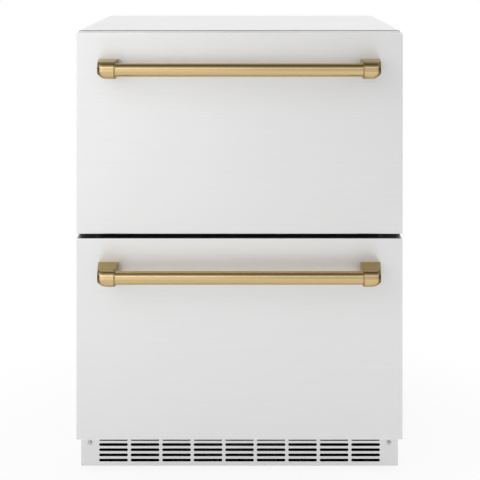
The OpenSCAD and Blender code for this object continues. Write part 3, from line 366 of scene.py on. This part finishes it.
# Radius that catches light along the edges of mouldings and of galvanised sheet
MOULDED_EDGE, ZINC_EDGE = 0.0006, 0.0004
# How near another surface has to be for painted shade in a seam, and in a hollow underside
SEAM_SHADE_REACH, HOLLOW_SHADE_REACH = 0.012, 0.15

# Brushed metal: height of the grain in metres, how far roughness varies, and which way it runs
GRAIN_HEIGHT = 0.0001
METAL_SPREAD = 0.15
GRAIN_TURN = 0.25
# Painted side shade on the brackets: the dark tint, where a normal counts as sideways or upward,
# and the top's share
SIDE_SHADE_BRONZE = (0.11, 0.083, 0.045)
SIDEWAYS_LOW, SIDEWAYS_HIGH = 0.1, 0.5
UPWARD_LOW, UPWARD_HIGH = 0.88, 0.99
TOP_SHARE = 0.45
# A bend's normal lies between a flat front's and a flat side's, by how far it points forward
FLAT_FRONT, BENT_FRONT = 0.999, 0.97
FLAT_SIDE, BENT_SIDE = 0.02, 0.12

PEBBLE_SIZE, PEBBLE_DEPTH, PEBBLE_STRENGTH = 0.0012, 0.00004, 0.6
# How much darker plastic is between the wiped patches, and its shares of the roughness
PLASTIC_DARKER = 0.975
PLASTIC_SMOOTH, PLASTIC_ROUGH = 0.94, 1.04

SPANGLE_SIZE = 0.009
ZINC_DARKER, ZINC_LIGHTER = 0.93, 1.06
ZINC_SMOOTH, ZINC_ROUGH = 0.34, 0.56
ZINC_METALLIC = 0.9

# Rigid foam: cells in a metre, their height, and how much darker it is between the patches
FOAM_CELLS, CELL_HEIGHT, CELL_STRENGTH = 700.0, 0.0006, 0.5
FOAM_DARKER, FOAM_ROUGHNESS = 0.85, 0.9


def new_material(name):
    """A material with an empty tree: (material, tree, object coordinates)."""
    material = bpy.data.materials.new(name)
    material.use_nodes = True
    tree = material.node_tree
    tree.nodes.clear()
    return material, tree, add(tree, "ShaderNodeTexCoord").outputs["Object"]


def close_material(tree, inputs):
    """Ends a tree in one Principled shader with these inputs."""
    shader = add(tree, "ShaderNodeBsdfPrincipled", inputs)
    add(tree, "ShaderNodeOutputMaterial", {"Surface": shader.outputs[0]})


def paint_side_shade(tree, base, amount):
    """Painted shade: darkens what faces sideways, and the very top a little."""
    normal = surface_normal(tree, "Normal")
    sideways = math_node(tree, "ABSOLUTE", normal["X"])
    ends = in_range(tree, sideways, SIDEWAYS_LOW, SIDEWAYS_HIGH, end=amount)
    top = in_range(tree, normal["Z"], UPWARD_LOW, UPWARD_HIGH, end=amount * TOP_SHARE)
    return blend_colours(tree, math_node(tree, "MAXIMUM", ends, top), base, SIDE_SHADE_BRONZE)


def paint_bend_highlights(tree, base, amount):
    """Painted highlight: lightens a folded sheet's bends, which catch light from more sides than
    its faces do.
    """
    forward = math_node(tree, "ABSOLUTE", surface_normal(tree, "True Normal")["Y"])
    bent = in_range(tree, forward, FLAT_FRONT, BENT_FRONT, end=amount)
    off_side = in_range(tree, forward, FLAT_SIDE, BENT_SIDE)
    return blend_colours(tree, math_node(tree, "MULTIPLY", bent, off_side), base, WHITE)


def metal(
    name, tint, grain, roughness, depth=0.3, streak=0.05, crevice_shade=0.0, spare_fronts=0.0,
    anisotropic=0.0, side_shade=0.0, bend_highlights=0.0, edge_tint=WHITE, metallic=1.0,
):
    """Brushed metal, with painted shade in crevices and on sideways faces, and painted highlights
    on bends, where asked. Grain holds the length of a brushed line along X, Y and Z.
    """
    material, tree, at = new_material(name)
    lines_at = add(
        tree, "ShaderNodeVectorMath", {0: at, 1: [1.0 / g for g in grain]}, operation="MULTIPLY"
    ).outputs[0]
    lines = place_group(tree, "Brushed grain", {"Vector": lines_at, "Depth": depth})
    wiped = place_group(tree, "Wiped surface", {"Vector": at, "Size": METAL_PATCH})
    radius = bpy.context.scene.refrigerator_steel.edge_radius
    edges = place_group(tree, "Soft edges", {"Radius": radius})
    bump = add(
        tree, "ShaderNodeBump",
        {
            "Height": lines.outputs["Height"], "Normal": edges.outputs["Normal"],
            "Strength": 1.0, "Distance": GRAIN_HEIGHT,
        },
    )
    base = blend_colours(
        tree, lines.outputs["Lines"], scaled(tint, 1 - streak), scaled(tint, 1 + streak)
    )
    # Painted shade on sideways faces and the top
    if side_shade:
        base = paint_side_shade(tree, base, side_shade)
    # Painted highlight on folded bends
    if bend_highlights:
        base = paint_bend_highlights(tree, base, bend_highlights)
    # Painted shade in seams, slots and corners
    if crevice_shade:
        base = place_group(
            tree, "Painted crevice shade",
            {"Color": base, "Reach": SEAM_SHADE_REACH, "Depth": crevice_shade, "Spare fronts": spare_fronts},
        ).outputs["Color"]
    both = math_node(tree, "ADD", lines.outputs["Lines"], wiped.outputs["Mask"])
    rough = in_range(
        tree, both, 0.0, 2.0, roughness * (1 - METAL_SPREAD), roughness * (1 + METAL_SPREAD)
    )
    inputs = {
        "Base Color": base, "Metallic": metallic, "Roughness": rough,
        "Normal": bump.outputs[0], "Specular Tint": (*edge_tint, 1.0),
    }
    if anisotropic:
        inputs["Anisotropic"] = anisotropic
        inputs["Anisotropic Rotation"] = GRAIN_TURN
    close_material(tree, inputs)
    return material


def plastic(name, tint, roughness):
    """Moulded plastic, rubber or enamel."""
    material, tree, at = new_material(name)
    skin = place_group(
        tree, "Moulded skin", {"Vector": at, "Size": PEBBLE_SIZE, "Depth": PEBBLE_DEPTH}
    )
    wiped = place_group(tree, "Wiped surface", {"Vector": at, "Size": PLASTIC_PATCH})
    edges = place_group(tree, "Soft edges", {"Radius": MOULDED_EDGE})
    bump = add(
        tree, "ShaderNodeBump",
        {
            "Height": skin.outputs["Height"], "Normal": edges.outputs["Normal"],
            "Strength": PEBBLE_STRENGTH, "Distance": 1.0,
        },
    )
    mask = wiped.outputs["Mask"]
    base = blend_colours(tree, mask, scaled(tint, PLASTIC_DARKER), tint)
    rough = in_range(
        tree, mask, 0.0, 1.0, roughness * PLASTIC_SMOOTH, roughness * PLASTIC_ROUGH
    )
    close_material(tree, {"Base Color": base, "Roughness": rough, "Normal": bump.outputs[0]})
    return material


def galvanised(name, tint, hollow_shade=0.0):
    """Zinc coated sheet. The hollow setting is how much painted shade darkens it inside a hollow.
    """
    material, tree, at = new_material(name)
    spangle = place_group(tree, "Zinc spangle", {"Vector": at, "Size": SPANGLE_SIZE})
    wiped = place_group(tree, "Wiped surface", {"Vector": at, "Size": ZINC_PATCH})
    edges = place_group(tree, "Soft edges", {"Radius": ZINC_EDGE})
    tone = spangle.outputs["Tone"]
    base = blend_colours(tree, tone, scaled(tint, ZINC_DARKER), scaled(tint, ZINC_LIGHTER))
    # Painted shade inside a hollow
    if hollow_shade:
        base = place_group(
            tree, "Painted crevice shade", {"Color": base, "Reach": HOLLOW_SHADE_REACH, "Depth": hollow_shade}
        ).outputs["Color"]
    both = math_node(tree, "ADD", tone, wiped.outputs["Mask"])
    rough = in_range(tree, both, 0.0, 2.0, ZINC_SMOOTH, ZINC_ROUGH)
    close_material(
        tree,
        {
            "Base Color": base, "Metallic": ZINC_METALLIC, "Roughness": rough,
            "Normal": edges.outputs["Normal"],
        },
    )
    return material


def foam(name, tint):
    """Rigid foam with its skin of small cells."""
    material, tree, at = new_material(name)
    cells = add(
        tree, "ShaderNodeTexVoronoi", {"Vector": at, "Scale": FOAM_CELLS}, feature="SMOOTH_F1"
    )
    wiped = place_group(tree, "Wiped surface", {"Vector": at, "Size": FOAM_PATCH})
    bump = add(
        tree, "ShaderNodeBump",
        {
            "Height": cells.outputs["Distance"], "Strength": CELL_STRENGTH,
            "Distance": CELL_HEIGHT,
        },
    )
    base = blend_colours(tree, wiped.outputs["Mask"], scaled(tint, FOAM_DARKER), tint)
    close_material(
        tree, {"Base Color": base, "Roughness": FOAM_ROUGHNESS, "Normal": bump.outputs[0]}
    )
    return material


def finish(names, material):
    """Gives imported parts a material."""
    for name in names:
        for slot in PARTS[name].material_slots:
            slot.material = material


def each_drawer(*names):
    return [f"{drawer}_{name}" for drawer in DRAWERS for name in names]


# ---- Modelled pieces ----

SMOOTH_ANGLE = math.radians(35)


def add_piece(name, mesh, material):
    """Puts a smooth-shaded mesh in the scene, with its creases left sharp."""
    mesh.shade_smooth()
    mesh.set_sharp_from_angle(angle=SMOOTH_ANGLE)
    mesh.materials.append(material)
    piece = bpy.data.objects.new(name, mesh)
    bpy.context.scene.collection.objects.link(piece)
    return piece


# ---- Gaskets ----

GASKET_WIDTH = 12 * MILLIMETRE
STRIP_THICKNESS = 1.6 * MILLIMETRE
BULB_HEIGHT = 3.0 * MILLIMETRE
BULB_CORNER = 0.8 * MILLIMETRE
NECK_INSET = 3.2 * MILLIMETRE
FOLD_INSET = 0.9 * MILLIMETRE
ARC_STEPS = 4


def arc_points(centre, radius, start, end):
    """Points on an arc, from one angle to another in degrees."""
    angles = (
        math.radians(start + (end - start) * i / ARC_STEPS) for i in range(ARC_STEPS + 1)
    )
    return [(centre[0] + radius * math.cos(a), centre[1] + radius * math.sin(a)) for a in angles]


def gasket_outline(depth):
    """A magnetic gasket's profile: distances across it from its outer side, and off the panel.

    Bellows with one fold join the strip that is clipped to the panel to the bulb that holds the
    magnet.
    """
    bulb = depth - BULB_HEIGHT
    fold = (STRIP_THICKNESS + bulb) / 2
    half = [
        (0.0, 0.0),
        *arc_points((STRIP_THICKNESS / 2, STRIP_THICKNESS / 2), STRIP_THICKNESS / 2, 180, 90),
        (NECK_INSET, STRIP_THICKNESS),
        *arc_points((FOLD_INSET + BULB_CORNER / 2, fold), BULB_CORNER / 2, 240, 120),
        (NECK_INSET, bulb),
        *arc_points((BULB_CORNER, bulb + BULB_CORNER), BULB_CORNER, 270, 180),
        *arc_points((BULB_CORNER, depth - BULB_CORNER), BULB_CORNER, 180, 90),
    ]
    return half + [(GASKET_WIDTH - across, away) for across, away in reversed(half)]


def make_gasket(drawer, material):
    """Sweeps the profile round the drawer's panel, with mitred corners."""
    node = f"{drawer}_gasket"
    low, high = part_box(node)
    outline = gasket_outline(high[1] - low[1])
    count = len(outline)
    # Each corner, with the way to the gasket's inside along X and Z
    corners = (
        (low[0], 1, low[2], 1), (high[0], -1, low[2], 1),
        (high[0], -1, high[2], -1), (low[0], 1, high[2], -1),
    )
    points = [
        (x + right * across, low[1] + away, z + up * across)
        for x, right, z, up in corners
        for across, away in outline
    ]
    faces = []
    for side in range(len(corners)):
        start, end = side * count, (side + 1) % len(corners) * count
        for i in range(count):
            j = (i + 1) % count
            faces.append((start + i, end + i, end + j, start + j))
    name = f"{drawer}_gasket_profile"
    mesh = bpy.data.meshes.new(name)
    mesh.from_pydata(points, [], faces)
    gasket = add_piece(name, mesh, material)
    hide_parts(node)
    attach(gasket, f"{drawer}_drawer")


# ---- Handle brackets ----

BRACKET_WIDTH = 32 * MILLIMETRE
# How much further out a bracket stands on the face than at its nose
BRACKET_FLARE = 5 * MILLIMETRE
# Rounding of the nose's outer edge and of the upper outer corner
NOSE_ROUND = 8 * MILLIMETRE
TOP_CORNER = 2 * MILLIMETRE
# The lower outer corner is cut off at a slant: its width and height
SLANT_WIDTH, SLANT_HEIGHT = 10 * MILLIMETRE, 9 * MILLIMETRE
# Where the outer edge and the slant meet, their roundings run together, softer for a low power
MEETING_POWER = 4
# The collar at a nose's inner end: millimetres from that end, and how deep the surface lies
COLLAR = ((0.0, 0.8), (0.4, 0.3), (1.2, 0.3), (1.4, 1.1), (2.1, 1.1), (2.4, 0.0))
# Where the collar ends on the block behind the nose, and the least length of that step
BLOCK_START = 1.5 * MILLIMETRE
LEAST_STEP = MILLIMETRE / 10
NOSE_ROWS = 28
PLAIN_COLUMNS = 6
ROUND_COLUMNS = 8


def rounding(inside, radius):
    """How far a quarter-round edge falls away, at a distance inside the edge."""
    reach = max(0.0, radius - inside)
    return radius - math.sqrt(radius * radius - reach * reach)


def nose_columns():
    """Distances from a bracket's inner end, with how deep the collar lies at each."""
    plain = BRACKET_WIDTH - NOSE_ROUND
    start = COLLAR[-1][0] * MILLIMETRE
    columns = [(at * MILLIMETRE, depth * MILLIMETRE) for at, depth in COLLAR]
    columns += [
        (start + (plain - start) * i / PLAIN_COLUMNS, 0.0) for i in range(1, PLAIN_COLUMNS + 1)
    ]
    turns = (math.pi / 2 * i / ROUND_COLUMNS for i in range(1, ROUND_COLUMNS + 1))
    return columns + [(plain + NOSE_ROUND * math.sin(turn), 0.0) for turn in turns]


def nose_point(across, row, depth, radius):
    """A point of the nose: its height, and how far it lies in front of the bar's axis."""
    outer = BRACKET_WIDTH - across
    reach = radius - depth
    cut = max(0.0, SLANT_WIDTH - outer) * SLANT_HEIGHT / SLANT_WIDTH
    bottom = cut - reach
    top = reach - rounding(outer, TOP_CORNER)
    height = bottom + (top - bottom) * (1 - math.cos(math.pi * row / NOSE_ROWS)) / 2
    above_slant = outer * SLANT_HEIGHT + (height + radius - SLANT_HEIGHT) * SLANT_WIDTH
    slant = above_slant / math.hypot(SLANT_WIDTH, SLANT_HEIGHT)
    near = (
        max(0.0, NOSE_ROUND - outer) ** MEETING_POWER
        + max(0.0, NOSE_ROUND - slant) ** MEETING_POWER
    ) ** (1 / MEETING_POWER)
    fall = rounding(max(0.0, NOSE_ROUND - near), NOSE_ROUND)
    return height, math.sqrt(max(0.0, reach * reach - height * height)) - fall


def bracket_mesh(shape, side, low, high):
    """One bracket: the round nose over the bar's end, and its block, which widens to the face."""
    radius = (high[2] - low[2]) / 2
    middle = (high[2] + low[2]) / 2
    axis = low[1] + radius
    inner = high[0] - BRACKET_FLARE - BRACKET_WIDTH
    columns = nose_columns()
    grid = []
    for across, depth in columns:
        points = (nose_point(across, row, depth, radius) for row in range(NOSE_ROWS + 1))
        x = side * (inner + across)
        grid.append([shape.verts.new((x, axis - out, middle + up)) for up, out in points])
    for a, b in zip(grid, grid[1:]):
        for row in range(NOSE_ROWS):
            shape.faces.new((a[row], b[row], b[row + 1], a[row + 1]))
    last_column, last_row = len(columns) - 1, NOSE_ROWS
    border = [(i, 0) for i in range(last_column)]
    border += [(last_column, j) for j in range(last_row)]
    border += [(i, last_row) for i in range(last_column, 0, -1)]
    border += [(0, j) for j in range(last_row, 0, -1)]
    start, block, face = [], [], []
    for i, j in border:
        across = columns[i][0]
        first = grid[i][j]
        z = middle + nose_point(across, j, 0.0, radius)[0]
        at = max(first.co.y + LEAST_STEP, axis + BLOCK_START)
        spread = BRACKET_FLARE * across / BRACKET_WIDTH
        part_way = (at - first.co.y) / (high[1] - first.co.y)
        start.append(first)
        x = side * (inner + across + spread * part_way)
        block.append(shape.verts.new((x, at, z)))
        face.append(shape.verts.new((side * (inner + across + spread), high[1], z)))
    for ring, following in ((start, block), (block, face)):
        for i in range(len(ring)):
            j = (i + 1) % len(ring)
            shape.faces.new((ring[i], ring[j], following[j], following[i]))
    shape.faces.new(face)


def make_brackets(drawer, material):
    """Models both brackets of a drawer's handle."""
    node = f"{drawer}_handle_brackets"
    low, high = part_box(node)
    shape = bmesh.new()
    for side in (-1, 1):
        bracket_mesh(shape, side, low, high)
    bmesh.ops.recalc_face_normals(shape, faces=shape.faces)
    name = f"{drawer}_handle_ends"
    mesh = bpy.data.meshes.new(name)
    shape.to_mesh(mesh)
    shape.free()
    ends = add_piece(name, mesh, material)
    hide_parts(node)
    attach(ends, f"{drawer}_drawer")


# ---- The stage ----

PICTURE_SIDE = 480
SENSOR_WIDTH = 36.0
FLOOR_RADIUS = 3.0
FLOOR_CORNERS = 96

# Tones of the studio's surroundings, as places from 0 to 1 and greys.
# By height in front: a bright strip under a dark ceiling
FRONT_TONES = (
    (0.0, 0.96), (0.25, 0.91), (0.46, 0.82), (0.54, 0.74), (0.58, 2.2), (0.62, 2.2),
    (0.66, 0.75), (0.87, 0.42), (0.95, 0.18), (1.0, 0.1),
)
# The front's share from left to right: brighter on the left
LEFT_TONES = (
    (0.0, 1.52), (0.42, 1.48), (0.45, 1.22), (0.487, 1.18), (0.50, 0.87), (0.56, 0.79),
    (1.0, 0.77),
)
# By height behind the object
BACK_TONES = ((0.0, 1.15), (0.4, 1.15), (0.7, 0.6), (1.0, 0.15))
# By distance to the side, with a dark flag at each end
SIDE_TONES = ((0.0, 1.0), (0.88, 1.0), (0.95, 0.2), (1.0, 0.2))
# Where the front's tones turn into the back's, along Y
FRONT_ENDS, BACK_STARTS = -0.1, 0.2

# The floor under the appliance, which nothing lights: half its width, its middle along Y and
# half its depth, and the share of them where it starts to get dark
UNDER_X, UNDER_MIDDLE, UNDER_Y = 0.285, 0.10, 0.215
UNDER_EDGE = 0.9
# The shadow that the camera sees fades out between these distances
SHADOW_NEAR, SHADOW_FAR = 0.38, 0.75
# How bright reflections find the floor close to the appliance, and where that ends
REFLECTED_NEAR = 0.55
REFLECTED_FROM, REFLECTED_TO = 0.3, 1.4

KEY_PLACE, KEY_TARGET = (-1.7, -2.2, 1.9), (0.0, 0.0, 0.5)
KEY_SIDE = 1.0


def place_camera(studio):
    """A level camera with its picture plane parallel to the front, so upright edges stay upright.

    The picture's middle lies far below the vanishing point, so the camera looks down along a
    sheared axis while its picture plane stays upright.
    """
    middle = PICTURE_SIDE / 2
    axis = (middle - studio.vanishing_x, studio.focal_pixels, studio.vanishing_y - middle)
    reach = math.sqrt(sum(a * a for a in axis))
    data = bpy.data.cameras.new("Camera")
    data.sensor_width = SENSOR_WIDTH
    data.lens = reach * SENSOR_WIDTH / PICTURE_SIDE
    camera = bpy.data.objects.new("Camera", data)
    holder = bpy.data.objects.new("Camera holder", None)
    for made in (camera, holder):
        bpy.context.scene.collection.objects.link(made)
    camera.parent = holder
    back = [-a / reach for a in axis]
    camera.matrix_parent_inverse = Matrix((
        (1.0, 0.0, back[0], studio.eye[0]),
        (0.0, 0.0, back[1], studio.eye[1]),
        (0.0, 1.0, back[2], studio.eye[2]),
        (0.0, 0.0, 0.0, 1.0),
    ))
    bpy.context.scene.camera = camera


def make_floor(studio):
    """A pale floor, white to the camera and to reflections, with a part of its shadow kept."""
    bpy.ops.mesh.primitive_circle_add(
        vertices=FLOOR_CORNERS, radius=FLOOR_RADIUS, fill_type="NGON", location=(0, 0, 0)
    )
    floor = bpy.context.object
    floor.name = "floor"
    material, tree, at = new_material("Pale floor")
    lit = add(tree, "ShaderNodeBsdfDiffuse", {"Color": (*studio.floor_colour, 1.0)})
    white = add(tree, "ShaderNodeEmission", {"Color": (*WHITE, 1.0), "Strength": 1.0})
    path = add(tree, "ShaderNodeLightPath")
    away = add(tree, "ShaderNodeVectorMath", {0: at}, operation="LENGTH").outputs["Value"]
    reflected = in_range(tree, away, REFLECTED_FROM, REFLECTED_TO, start=REFLECTED_NEAR)
    seen = math_node(
        tree, "MULTIPLY_ADD", path.outputs["Is Glossy Ray"], reflected,
        path.outputs["Is Camera Ray"], clamp=True,
    )
    fade = in_range(tree, away, SHADOW_NEAR, SHADOW_FAR, start=1.0 - studio.floor_shade)
    place = split(tree, at)
    from_middle = math_node(tree, "SUBTRACT", place["Y"], UNDER_MIDDLE)
    across, along = (
        math_node(tree, "DIVIDE", math_node(tree, "ABSOLUTE", distance), half)
        for distance, half in ((place["X"], UNDER_X), (from_middle, UNDER_Y))
    )
    outside = in_range(tree, math_node(tree, "MAXIMUM", across, along), UNDER_EDGE, 1.0)
    open_floor = math_node(tree, "MULTIPLY", seen, fade)
    bright = math_node(tree, "MULTIPLY", open_floor, outside)
    mix = add(tree, "ShaderNodeMixShader", {0: bright, 1: lit.outputs[0], 2: white.outputs[0]})
    add(tree, "ShaderNodeOutputMaterial", {"Surface": mix.outputs[0]})
    floor.data.materials.append(material)


def make_world():
    """White to the camera. Reflections meet a studio with a dark ceiling and dark sides."""
    world = bpy.data.worlds.new("Studio")
    bpy.context.scene.world = world
    world.use_nodes = True
    tree = world.node_tree
    tree.nodes.clear()
    toward = split(tree, add(tree, "ShaderNodeTexCoord").outputs["Generated"])
    rightness = math_node(tree, "MULTIPLY_ADD", toward["X"], 0.5, 0.5)
    front = math_node(
        tree, "MULTIPLY", tone_ramp(tree, toward["Z"], FRONT_TONES),
        tone_ramp(tree, rightness, LEFT_TONES),
    )
    back = tone_ramp(tree, toward["Z"], BACK_TONES)
    behind = in_range(tree, toward["Y"], FRONT_ENDS, BACK_STARTS)
    walls = add(
        tree, "ShaderNodeMix", {"Factor": behind, "A": front, "B": back}, data_type="FLOAT"
    ).outputs[0]
    flags = tone_ramp(tree, math_node(tree, "ABSOLUTE", toward["X"]), SIDE_TONES)
    shade = math_node(tree, "MULTIPLY", walls, flags)
    grey = add(
        tree, "ShaderNodeCombineColor", {"Red": shade, "Green": shade, "Blue": shade}
    ).outputs[0]
    path = add(tree, "ShaderNodeLightPath")
    seen = blend_colours(tree, path.outputs["Is Camera Ray"], grey, WHITE)
    background = add(tree, "ShaderNodeBackground", {"Color": seen, "Strength": 1.0})
    add(tree, "ShaderNodeOutputWorld", {"Surface": background.outputs[0]})


def make_key_softbox(studio):
    """A soft lamp in front on the left. Metal mirrors the studio's walls, not the lamp."""
    data = bpy.data.lights.new("Key softbox", "AREA")
    data.shape = "RECTANGLE"
    data.size = data.size_y = KEY_SIDE
    data.energy = studio.key_power
    lamp = bpy.data.objects.new("Key softbox", data)
    bpy.context.scene.collection.objects.link(lamp)
    lamp.location = KEY_PLACE
    direction = Vector(KEY_TARGET) - lamp.location
    lamp.rotation_euler = direction.to_track_quat("-Z", "Y").to_euler()
    lamp.visible_glossy = False


# ---- Operators ----

# Colours of pieces that are hardly seen
ALUMINIUM = (0.72, 0.73, 0.75)
COPPER = (0.72, 0.36, 0.20)
CAGE_BRASS = (0.62, 0.52, 0.30)
FOOT_STEEL = (0.25, 0.25, 0.25)
RUBBER = (0.03, 0.03, 0.03)
# How bronze looks at a glancing angle
BRONZE_EDGE = (0.74, 0.66, 0.50)

# Length of the lines along X, Y and Z on small pieces, and along the slides and their cages
SCREW_GRAIN = (0.001, 0.001, 0.001)
FOOT_GRAIN = (0.002, 0.002, 0.002)
FIN_GRAIN = (0.02, 0.02, 0.001)
TUBE_GRAIN = (0.01, 0.001, 0.001)
RAIL_LINE, CAGE_LINE = 0.04, 0.02

# How dark the painted shade gets in seams and slots of stainless sheet, and in the base pan's
# hollow underside
SEAM_SHADE_DEPTH = HOLLOW_SHADE_DEPTH = 3.0
SHEET_ROUGHNESS = 0.36


class MakeShaderGroups(bpy.types.Operator):
    """Build the shared shader groups"""

    bl_idname = "refrigerator.shader_groups"
    bl_label = "Shared Effects"

    def execute(self, context):
        for make in GROUP_MAKERS:
            make()
        return {"FINISHED"}


class MakeStage(bpy.types.Operator):
    """Set the camera, floor and lamp"""

    bl_idname = "refrigerator.stage"
    bl_label = "Stage"

    def execute(self, context):
        studio = context.scene.refrigerator_studio
        context.scene.view_settings.view_transform = "Standard"
        place_camera(studio)
        make_floor(studio)
        make_world()
        make_key_softbox(studio)
        return {"FINISHED"}


class FinishFronts(bpy.types.Operator):
    """Finish the drawer fronts, their panels and foam"""

    bl_idname = "refrigerator.fronts"
    bl_label = "Drawer Fronts"

    def execute(self, context):
        steel = context.scene.refrigerator_steel
        plastics = context.scene.refrigerator_plastics
        # The front sheet gets painted shade in its seams and painted highlights on its bends
        sheet = metal(
            "Front stainless", steel.stainless,
            grain=(steel.grain_length, steel.grain_width, steel.grain_width),
            roughness=steel.front_roughness, anisotropic=0.6, crevice_shade=SEAM_SHADE_DEPTH,
            spare_fronts=1.0, bend_highlights=0.8, metallic=steel.front_metallic,
        )
        panel = plastic("Moulded panel", plastics.liner, roughness=0.35)
        finish(each_drawer("front_skin"), sheet)
        finish(each_drawer("front_foam"), foam("Front foam", plastics.foam))
        finish(each_drawer("inner_panel"), panel)
        return {"FINISHED"}


class MakeGaskets(bpy.types.Operator):
    """Model the drawers' magnetic gaskets"""

    bl_idname = "refrigerator.gaskets"
    bl_label = "Gaskets"

    def execute(self, context):
        tint = context.scene.refrigerator_plastics.gasket
        vinyl = plastic("Gasket vinyl", tint, roughness=0.55)
        for drawer in DRAWERS:
            make_gasket(drawer, vinyl)
        return {"FINISHED"}


class FinishHandles(bpy.types.Operator):
    """Finish the handles' bars and screws, and model their brackets"""

    bl_idname = "refrigerator.handles"
    bl_label = "Handles"

    def execute(self, context):
        bronze = context.scene.refrigerator_bronze
        steel = context.scene.refrigerator_steel
        look = {
            "grain": (steel.grain_length / 3, steel.grain_width, steel.grain_width),
            "roughness": bronze.roughness, "depth": 0.2, "streak": 0.1,
            "edge_tint": BRONZE_EDGE,
        }
        finish(each_drawer("handle_bar"), metal("Brushed bronze", bronze.tint, **look))
        # The brackets' bronze gets painted shade on its outer sides and a little on its top
        ends = metal("Bronze ends", bronze.tint, side_shade=bronze.side_shade, **look)
        for drawer in DRAWERS:
            make_brackets(drawer, ends)
        screws = metal("Plated screws", steel.plated, SCREW_GRAIN, roughness=0.35)
        finish([*each_drawer("handle_bolts"), "panel_screws"], screws)
        return {"FINISHED"}


class FinishCabinet(bpy.types.Operator):
    """Finish the cabinet"""

    bl_idname = "refrigerator.cabinet"
    bl_label = "Cabinet"

    def execute(self, context):
        steel = context.scene.refrigerator_steel
        plastics = context.scene.refrigerator_plastics
        width, line = steel.grain_width, steel.grain_length
        # Painted shade darkens the seams and slots of both stainless sheets
        wrapper = metal(
            "Wrapper stainless", steel.stainless, (width, line, width), SHEET_ROUGHNESS,
            crevice_shade=SEAM_SHADE_DEPTH,
        )
        grille = metal(
            "Grille stainless", steel.stainless, (line, width, width), SHEET_ROUGHNESS,
            crevice_shade=SEAM_SHADE_DEPTH,
        )
        sheet = galvanised("Galvanised sheet", steel.galvanised)
        finish(["outer_wrapper"], wrapper)
        finish(["toe_grille"], grille)
        finish(["cross_rails"], plastic("Black powder coat", plastics.black, roughness=0.5))
        finish(["back_panel", "rear_service_cover"], sheet)
        # The base pan's hollow underside gets painted shade
        finish(["base_pan"], galvanised("Base sheet", steel.galvanised, hollow_shade=HOLLOW_SHADE_DEPTH))
        finish(["cabinet_foam"], foam("Cabinet foam", plastics.foam))
        finish(["inner_liner"], plastic("Liner", plastics.liner, roughness=0.32))
        return {"FINISHED"}


class FinishColdAir(bpy.types.Operator):
    """Finish the evaporator, the fans, the drain and the controls"""

    bl_idname = "refrigerator.cold_air"
    bl_label = "Cold Air"

    def execute(self, context):
        plastics = context.scene.refrigerator_plastics
        steel = context.scene.refrigerator_steel
        cover = plastic("Duct cover", plastics.liner, roughness=0.4)
        fans = plastic("Fan plastic", plastics.black, roughness=0.45)
        fins = metal("Fin aluminium", ALUMINIUM, FIN_GRAIN, roughness=0.3)
        finish(["evaporator_cover", "control_module"], cover)
        finish(["evaporator_coil"], fins)
        finish(["evaporator_fan", "condenser_fan"], fans)
        finish(["evaporator_fan_mount"], galvanised("Fan bracket", steel.galvanised))
        finish(["condensate_drain"], plastic("Drain plastic", plastics.black, roughness=0.5))
        return {"FINISHED"}


class FinishCompressor(bpy.types.Operator):
    """Finish the compressor compartment"""

    bl_idname = "refrigerator.compressor"
    bl_label = "Compressor"

    def execute(self, context):
        black = context.scene.refrigerator_plastics.black
        enamel = plastic("Black enamel", black, roughness=0.3)
        moulding = plastic("Black moulding", black, roughness=0.5)
        copper = metal("Drawn copper", COPPER, TUBE_GRAIN, roughness=0.3)
        finish(["compressor", "condenser_coil"], enamel)
        finish(["compressor_grommets"], plastic("Rubber", RUBBER, roughness=0.8))
        finish(["condenser_fan_shroud", "power_inlet"], moulding)
        finish(["refrigerant_lines"], copper)
        return {"FINISHED"}


class FinishSlides(bpy.types.Operator):
    """Finish the slides, bins and feet"""

    bl_idname = "refrigerator.slides"
    bl_label = "Slides and Bins"

    def execute(self, context):
        plastics = context.scene.refrigerator_plastics
        steel = context.scene.refrigerator_steel
        width = steel.grain_width
        sides = ("left", "right")
        rails = [f"{s}_{rail}_rail" for s in sides for rail in ("cabinet", "middle", "drawer")]
        feet = [f"foot_{end}_{s}" for end in ("front", "rear") for s in sides]
        zinc = metal("Zinc rail", steel.plated, (width, RAIL_LINE, width), roughness=0.3)
        bars = metal("Frame steel", steel.stainless, (width, RAIL_LINE, width), roughness=0.4)
        cages = metal("Ball cage", CAGE_BRASS, (width, CAGE_LINE, width), roughness=0.3)
        finish(each_drawer(*rails), zinc)
        finish(each_drawer("bin_frame"), bars)
        finish(each_drawer("outer_cages", "inner_cages"), cages)
        finish(each_drawer("bin"), plastic("Bin", plastics.bin, roughness=0.3))
        finish(feet, metal("Foot steel", FOOT_STEEL, FOOT_GRAIN, roughness=0.5))
        return {"FINISHED"}


STEPS = (
    MakeShaderGroups, MakeStage, FinishFronts, MakeGaskets, FinishHandles, FinishCabinet,
    FinishColdAir, FinishCompressor, FinishSlides,
)
SETTINGS = {
    "refrigerator_steel": RefrigeratorSteel,
    "refrigerator_bronze": RefrigeratorBronze,
    "refrigerator_plastics": RefrigeratorPlastics,
    "refrigerator_studio": RefrigeratorStudio,
}


class RefrigeratorPanel(bpy.types.Panel):
    """The steps in order, with the sizes and colours they use"""

    bl_idname = "VIEW3D_PT_refrigerator"
    bl_label = "Drawer Refrigerator"
    bl_space_type = "VIEW_3D"
    bl_region_type = "UI"
    bl_category = "Refrigerator"

    def draw(self, context):
        for step in STEPS:
            self.layout.operator(step.bl_idname)
        for name, group in SETTINGS.items():
            for setting in group.__annotations__:
                self.layout.prop(getattr(context.scene, name), setting)


def register():
    for made in (*SETTINGS.values(), *STEPS, RefrigeratorPanel):
        bpy.utils.register_class(made)
    for name, group in SETTINGS.items():
        setattr(bpy.types.Scene, name, PointerProperty(type=group))


def unregister():
    for name in SETTINGS:
        delattr(bpy.types.Scene, name)
    for made in (RefrigeratorPanel, *reversed(STEPS), *SETTINGS.values()):
        bpy.utils.unregister_class(made)


def main():
    register()
    for step in STEPS:
        group, name = step.bl_idname.split(".")
        getattr(getattr(bpy.ops, group), name)()


if __name__ == "__main__":
    main()
